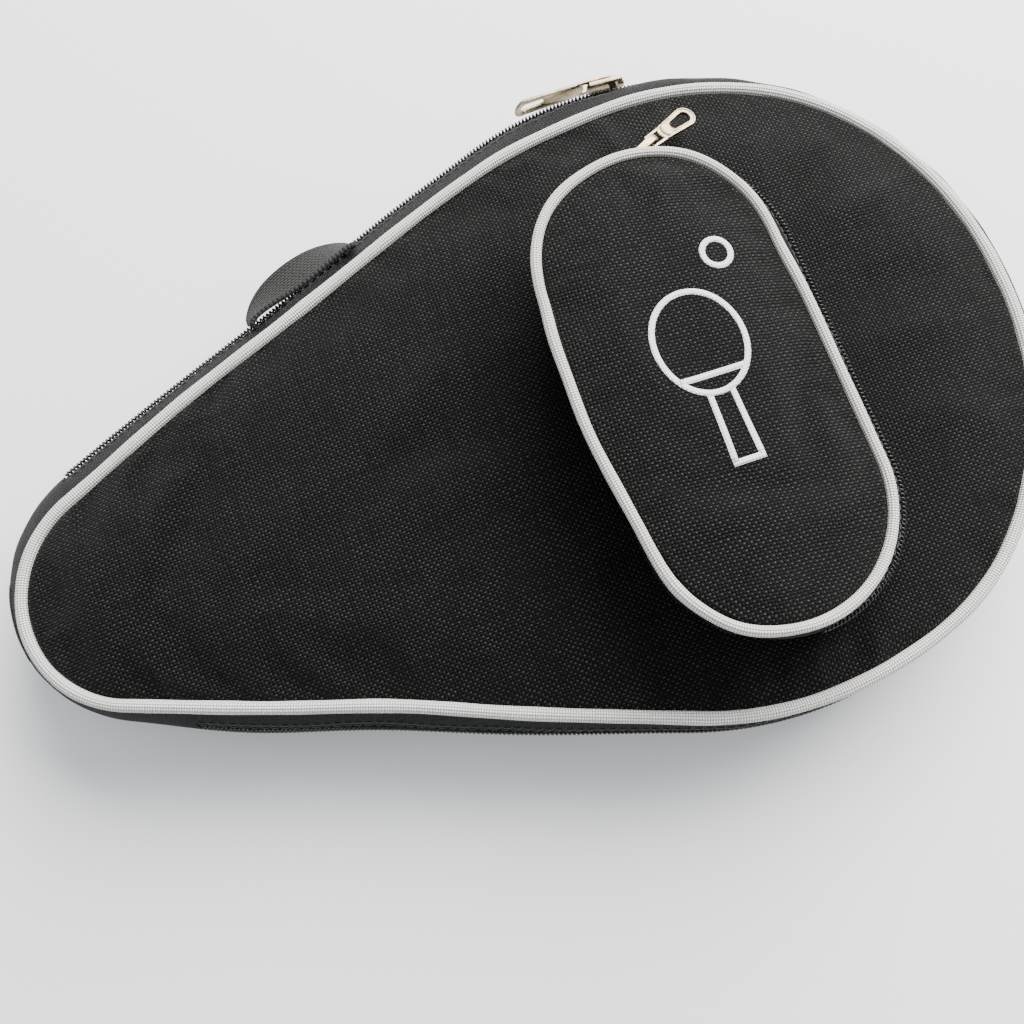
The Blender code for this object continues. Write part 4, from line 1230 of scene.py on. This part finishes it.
def build_main_slider():
    """Slider of the main zip, with its crown, and its long pull."""
    angle = radians(MAIN_SLIDER_ANGLE)
    outward = Vector((cos(angle), sin(angle), 0.0))
    along = Vector((sin(angle), -cos(angle), 0.0))
    axis = Vector((ZIP_BLADE[0] + CASE_X, ZIP_BLADE[1] + CASE_Y, ZIP_Z))
    seat = axis + outward * ZIP_BLADE_R
    place = frame_at(seat, outward, along)
    solids = slider_shell(
        place,
        (
            ((6.0, 4.6, 0.5, 3.7), 1.9, 2.75, 0.28, 0.12),
            ((5.0, 3.4, 0.3, 2.8), -4.7, -3.9, 0.25, 0.0),
        ),
        (2.7, -4.2, 2.2, 8, soft_box(0.25, 1.2, 0.12)),
        (5.2, 1.5, 4.15, 0.06, 12, soft_box(0.35, 0.75, 0.2)),
    )
    arch = [
        through(place, -4.6 * cos(turn), 2.6 + 2.35 * sin(turn) ** 0.55, 0.0)
        for turn in pi * np.arange(25) / 24
    ]
    solids.sweep(arch, (0.0, 0.0, 1.0), soft_box(0.42, 1.15, 0.2))
    nose = [through(place, x, 2.4, 0.0) for x in np.linspace(4.6, 6.3, 6)]
    solids.sweep(nose, outward, soft_box(1.5, 0.9, 0.35))
    slider = solids.piece("main_slider_metal", METAL)
    dress(slider, "main_slider_body", "main_slider")

    pin = seat + outward * 3.55 - along * 2.3
    turned = Matrix.Rotation(radians(5.0), 3, "Z")
    pull_frame = frame_at(pin, turned @ outward, turned @ (-along))

    def bent(x, width, height):
        curl = 0.0 if x < 20.0 else 0.021 * (x - 20.0) ** 2
        return through(pull_frame, x, height - curl, width)

    outlines = (
        rounded_outline(4.6, 28.5, 3.1, 3.7, 72), rounded_outline(18.2, 26.2, 1.55, 1.75, 72)
    )
    rim = (
        (0.0, -0.25), (0.06, -0.5), (0.9, -0.5), (1.0, -0.3), (1.0, 0.3), (0.93, 0.5),
        (0.80, 0.5), (0.74, 0.36), (0.22, 0.36), (0.16, 0.5), (0.06, 0.5), (0.0, 0.25),
    )
    arms = (2.6, 0.02, 6.4, 0.0, soft_box(0.62, 0.45, 0.2))
    pull = pull_piece("main_pull_metal", bent, outward, outlines, rim, arms, 2.9, 8)
    dress(pull, "main_pull_tab", "main_pull")


def build_pocket_slider():
    """Slider of the pocket's zip and its tapered pull with an oval hole."""
    angle = radians(POCKET_SLIDER_ANGLE)
    centre = Vector((POCKET_TOP[0] + POCKET_ZIP_SHIFT, POCKET_TOP[1] + POCKET_ZIP_RISE, 0.0))
    slope = Vector((-POCKET_ZIP_SLOPE, 0.0, 1.0)).normalized()
    plan_out = Vector((cos(angle), sin(angle), 0.0))
    along = plan_out.cross(slope).normalized()
    outward = slope.cross(along).normalized()
    seat = centre + plan_out * (POCKET_TOP_R + POCKET_ZIP_GROW)
    seat.z = POCKET_ZIP_Z + POCKET_ZIP_SLOPE * (seat.x - POCKET_MIDDLE_X)
    seat += Vector((CASE_X, CASE_Y, 0.0))
    solids = slider_shell(
        frame_at(seat, outward, along),
        (
            ((4.5, 3.5, 0.4, 2.9), 1.75, 2.6, 0.25, 0.1),
            ((3.8, 1.6, 0.1, 1.4), -3.5, -2.8, 0.2, 0.0),
        ),
        (2.2, -3.2, 2.0, 7, soft_box(0.16, 0.9, 0.08)),
        (3.9, 1.35, 3.3, 0.0, 8, soft_box(0.3, 0.6, 0.18)),
    )
    lean = radians(24.0)
    pull_out = Vector((cos(lean), sin(lean), 0.0))
    clasp = seat + outward * 4.3 - pull_out * 1.4
    crown = frame_at(clasp, (0.0, 0.0, 1.0), pull_out)
    loop = (
        (-2.0, -1.15), (1.5, -1.15), (4.4, -1.1), (5.1, -0.6), (5.25, 0.4),
        (5.1, 1.4), (4.4, 1.95), (1.5, 2.0), (-2.0, 2.0),
    )
    bridge = [through(crown, x, y, 0.0) for x, y in loop]
    solids.sweep(bridge, crown.col[2].to_3d(), soft_box(0.4, 1.1, 0.18))
    slider = solids.piece("pocket_slider_metal", METAL)
    dress(slider, "pocket_slider_body", "pocket_slider")

    pin = clasp + pull_out * 3.2 + Vector((0.0, 0.0, 0.45))
    drop = radians(16.0)
    pull_x = pull_out * cos(drop) - Vector((0.0, 0.0, sin(drop)))
    pull_y = pull_out * sin(drop) + Vector((0.0, 0.0, cos(drop)))
    pull_frame = frame_at(pin, pull_y, pull_x)

    def flat(x, width, height):
        return through(pull_frame, x, height, width)

    outlines = (
        rounded_outline(4.3, 19.0, 2.5, 3.4, 80), rounded_outline(9.6, 17.2, 1.35, 1.85, 80)
    )
    rim = (
        (0.0, -0.28), (0.06, -0.5), (0.9, -0.5), (1.0, -0.3), (1.0, 0.42), (0.92, 0.62),
        (0.78, 0.62), (0.70, 0.38), (0.30, 0.38), (0.22, 0.62), (0.07, 0.62), (0.0, 0.35),
    )
    arms = (1.85, 0.03, 5.6, 0.02, soft_box(0.45, 0.48, 0.2))
    pull = pull_piece("pocket_pull_metal", flat, pull_y, outlines, rim, arms, 2.1, 7)
    dress(pull, "pocket_pull_tab", "pocket_pull")


# ---------------------------------------------------------------- webbing loop

def wall_spot(x, height):
    """Point of the outer wall on the loop side at a plan x and a height."""
    level = (height - FRONT_SEAM_Z) / (ZIP_Z - FRONT_SEAM_Z)
    wall = SEAM + (ZIP - SEAM) * barrel(level)
    part = wall[18 * DENSE:HINGE_START * DENSE]
    order = np.argsort(part[:, 0])
    return Vector((x, float(np.interp(x, part[order, 0], part[order, 1])), height))


def build_loop():
    """Webbing carry loop that stands off the wall between its two sewn ends."""
    first, last = [wall_spot(x, LOOP_HEIGHT) for x in LOOP_ENDS]
    run = (last - first).normalized()
    level_out = Vector((-run.y, run.x, 0.0))
    path = []
    across = []
    for share in np.arange(61) / 60:
        arch = max(0.0, sin(pi * share ** 0.8)) ** 0.6
        lean = radians(30.0 + 32.0 * sin(pi * share))
        rise = level_out * cos(lean) + Vector((0.0, 0.0, sin(lean)))
        spot = first + (last - first) * float(share) + level_out * LOOP_OFF
        path.append(tuple(spot + rise * LOOP_RISE * arch))
        across.append(tuple(run.cross(rise)))
    path = np.array(path)
    across = np.array(across)
    normals = unit(np.cross(unit(np.gradient(path, axis=0)), across))
    lengths = run_lengths(path)
    rows = []
    grain = []
    for width in np.linspace(-LOOP_HALF_WIDTH, LOOP_HALF_WIDTH, 14):
        curl = 0.35 * (abs(width) / LOOP_HALF_WIDTH) ** 6
        rows.append(path + across * width - normals * curl)
        grain.append(with_height(lengths[:, None], width))
    piece = grid_piece("webbing_loop_band", np.array(rows), np.array(grain), WEBBING_CLOTH, 1.5)
    dress(piece, "carry_loop", "webbing_loop")


# ---------------------------------------------------------------- ball pocket

def pocket_rows(start, end, levels, depth, upper):
    """Grid of the pocket's wall, below or above its zip line."""
    steps = np.arange(start, end + 1)
    here = steps % (POCKET_RING * POCKET_DENSE)
    edge = (FACE_LINE if upper else POCKET_BASE)[here]
    zipped = POCKET_ZIP[here]
    if upper:
        edge_z = face_plane(edge) - 0.6
    else:
        edge_z = front_height(edge) - 0.4
    zip_z = pocket_zip_plane(zipped)
    ripple = 0.25 * np.sin(0.37 * steps) * np.sin(0.06 * steps)
    rows = []
    for level in levels:
        push = ripple * sin(pi * level) - depth
        plan = edge + (zipped - edge) * barrel(level) + POCKET_NORMALS[here] * push[:, None]
        rows.append(with_height(plan, edge_z + (zip_z - edge_z) * level))
    return np.array(rows)


def build_pocket():
    """Cloth, piping, tape and coils of the ball pocket."""
    hinge_from = POCKET_HINGE_START * POCKET_DENSE
    zip_from = POCKET_HINGE_END * POCKET_DENSE
    zip_to = hinge_from + POCKET_RING * POCKET_DENSE
    here = np.arange(zip_from, zip_to + 1) % (POCKET_RING * POCKET_DENSE)
    out = with_height(POCKET_NORMALS[here], 0.0)
    for half, upper, body in (("lower", False, "front_shell"), ("upper", True, "pocket_flap")):
        sense = 1.0 if upper else -1.0
        strips = (
            ("gusset", zip_from, zip_to, np.linspace(0.0, 0.56, 8)),
            ("hinge", hinge_from, zip_from, np.linspace(0.0, 0.97, 9)),
        )
        for kind, start, end, levels in strips:
            rows = pocket_rows(start, end, levels, 0.0, upper)
            name = "pocket_" + kind + "_cloth_" + half
            node = "pocket_" + ("gusset_" if kind == "gusset" else "hinge_gusset_") + half
            strip = strip_piece(name, rows, 0.7, GUSSET_SHADED_CLOTH, not upper)
            dress(strip, body, node)
        rows = pocket_rows(zip_from, zip_to, np.linspace(0.48, 0.97, 6), 0.5, upper)
        name = "pocket_tape_cloth_" + half
        tape = strip_piece(name, rows, 0.45, TAPE_CLOTH, not upper)
        dress(tape, body, "pocket_zipper_tape_" + half)
        heights = pocket_zip_plane(POCKET_ZIP[here]) + sense * 1.05
        path = with_height(POCKET_ZIP[here] - POCKET_NORMALS[here] * 0.2, heights)
        name = "pocket_coil_spiral_" + half
        coil = coil_piece(name, path, out, sense, pitch=1.2, reach=0.85, depth=0.6, wire=0.29)
        dress(coil, body, "pocket_zipper_coil_" + half)
        row = pocket_rows(zip_from, zip_to, (0.53,), -0.1, upper)[0]
        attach(stitches("pocket_tape_stitches_" + half, row, out, 2.6, 1.8, 0.2), body)

    first = POCKET_FOLD_START * POCKET_DENSE
    last = POCKET_FOLD_END * POCKET_DENSE
    top = pocket_rows(first, last, np.linspace(0.5, 1.0, 7), -FOLD_LIFT, True)
    low = pocket_rows(first, last, np.linspace(1.0, 0.5, 7), -FOLD_LIFT, False)
    rows = np.concatenate((top, low[1:]))
    fold = strip_piece("pocket_fold_cloth", rows, 0.5, GUSSET_SHADED_CLOTH, False)
    low, high = POCKET_BEND
    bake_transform(fold)

    heights = face_plane(FACE_LINE)
    piping = piping_piece(
        "pocket_piping_cord", FACE_LINE, heights, POCKET_PIPING_R, FACE_PIPING, 166
    )
    dress(piping, "pocket_flap", "pocket_piping")

    spine = pocket_spine(FACE_LINE)
    face = sewn_panel(
        "pocket_face_cloth", FACE_LINE, spine, face_height, PANEL_THICK, FACE_CLOTH, True, -0.01
    )
    dress(face, "pocket_flap", "pocket_face")
    lining = sewn_panel(
        "pocket_lining_cloth", FACE_LINE, spine, lambda points: face_height(points) - 1.4,
        LINING_THICK, LINING_CLOTH, False,
    )
    dress(lining, "pocket_flap", "pocket_lining")
    return face


# ---------------------------------------------------------------- print

def on_face(face, plan):
    """Plan points laid on the settled cloth of the pocket's face."""
    laid = []
    for x, y in plan:
        start = Vector(((x + CASE_X) * MM, (y + CASE_Y) * MM, 0.2))
        found, spot, normal, index = face.ray_cast(start, Vector((0.0, 0.0, -1.0)))
        laid.append((x, y, spot.z / MM + 0.06))
    return np.array(laid)


def ribbon(face, points, width, closed):
    """Strip of ink along plan points, laid on the pocket's face."""
    if closed:
        points = np.vstack((points, points[:1]))
    tangents = np.gradient(points, axis=0)
    if closed:
        tangents[0] = tangents[-1] = points[1] - points[-2]
    tangents = unit(tangents)
    side = np.column_stack((-tangents[:, 1], tangents[:, 0]))
    return np.array([on_face(face, points + side * width * share) for share in (-0.5, 0.0, 0.5)])


def build_print(face):
    """Plain line drawing of a paddle and a ball on the pocket's face."""
    turns = np.linspace(0.0, 2.0 * pi, 60, endpoint=False)
    middle = (-2.0, 2.0)
    paddle = np.column_stack((12.6 * np.cos(turns), 14.6 * np.sin(turns))) + middle
    ball = np.column_stack((4.0 * np.cos(turns), 4.0 * np.sin(turns))) + (12.6, 25.0)
    spots = np.linspace(0.0, 1.0, 14)[:, None]

    def line(start, end):
        return np.array(start) + (np.array(end) - np.array(start)) * spots

    strokes = [
        (paddle, True),
        (ball, True),
        (line((-11.6, -7.4), (7.6, -7.4)), False),
        (line((-5.2, -12.2), (-5.8, -31.6)), False),
        (line((1.2, -12.2), (1.8, -31.6)), False),
        (line((-6.6, -32.0), (2.6, -32.0)), False),
    ]
    for number, (points, closed) in enumerate(strokes):
        rows = ribbon(face, points, 1.7, closed)
        piece = grid_piece("paddle_mark_%d" % number, rows, rows[:, :, :2], PRINT, 0.08)
        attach(piece, "pocket_flap")


# ---------------------------------------------------------------- stage

def build_camera():
    """Camera above the case, a little to its handle side."""
    lens = bpy.data.cameras.new("camera")
    lens.sensor_width = 36.0
    lens.lens = 38.67
    camera = bpy.data.objects.new("camera", lens)
    bpy.context.scene.collection.objects.link(camera)
    place = Vector((-0.02095, -0.08962, 0.3436))
    aim = Vector((-0.00879, -0.02341, 0.0374))
    forward = (aim - place).normalized()
    right = Vector((0.9379, -0.3449, -0.0373)).normalized()
    up = right.cross(forward).normalized()
    right = forward.cross(up).normalized()
    turn = Matrix((right, up, -forward)).transposed().to_4x4()
    turn.translation = place
    camera.matrix_world = turn
    bpy.context.scene.camera = camera


def area_light(name, place, aim, size, energy, colour):
    """Soft rectangular light."""
    lamp = bpy.data.lights.new(name, "AREA")
    lamp.shape = "RECTANGLE"
    lamp.size, lamp.size_y = size
    lamp.energy = energy
    lamp.color = colour
    holder = bpy.data.objects.new(name, lamp)
    holder.location = place
    holder.rotation_euler = (Vector(place) - Vector(aim)).to_track_quat("Z", "Y").to_euler()
    bpy.context.scene.collection.objects.link(holder)


def build_stage():
    """Pale table, soft window light and a bright room."""
    side = 2.4
    points = [(-side, -side, 0.0), (side, -side, 0.0), (side, side, 0.0), (-side, side, 0.0)]
    mesh = bpy.data.meshes.new("table")
    mesh.from_pydata(points, [], [(0, 1, 2, 3)])
    table = bpy.data.objects.new("table", mesh)
    table.data.materials.append(table_look())
    table.location = (0.0, 0.0, -0.0002)
    bpy.context.scene.collection.objects.link(table)
    world = bpy.data.worlds.new("room")
    bpy.context.scene.world = world
    world.use_nodes = True
    background = world.node_tree.nodes["Background"]
    background.inputs[0].default_value = (0.93, 0.96, 1.0, 1.0)
    background.inputs[1].default_value = 0.66
    warm = (1.0, 0.985, 0.96)
    cool = (0.95, 0.97, 1.0)
    area_light("window", (0.66, 0.60, 0.80), (0.0, 0.0, 0.02), (1.3, 0.9), 60.0, warm)
    area_light("ceiling", (-0.2, 0.1, 1.3), (0.0, 0.0, 0.0), (1.2, 1.2), 5.0, cool)


build_panels()
build_half("back", "back_shell", BACK_SEAM_Z)
build_half("front", "front_shell", FRONT_SEAM_Z)
build_hinge()
build_main_slider()
build_loop()
FACE = build_pocket()
build_pocket_slider()
build_print(FACE)
build_camera()
build_stage()
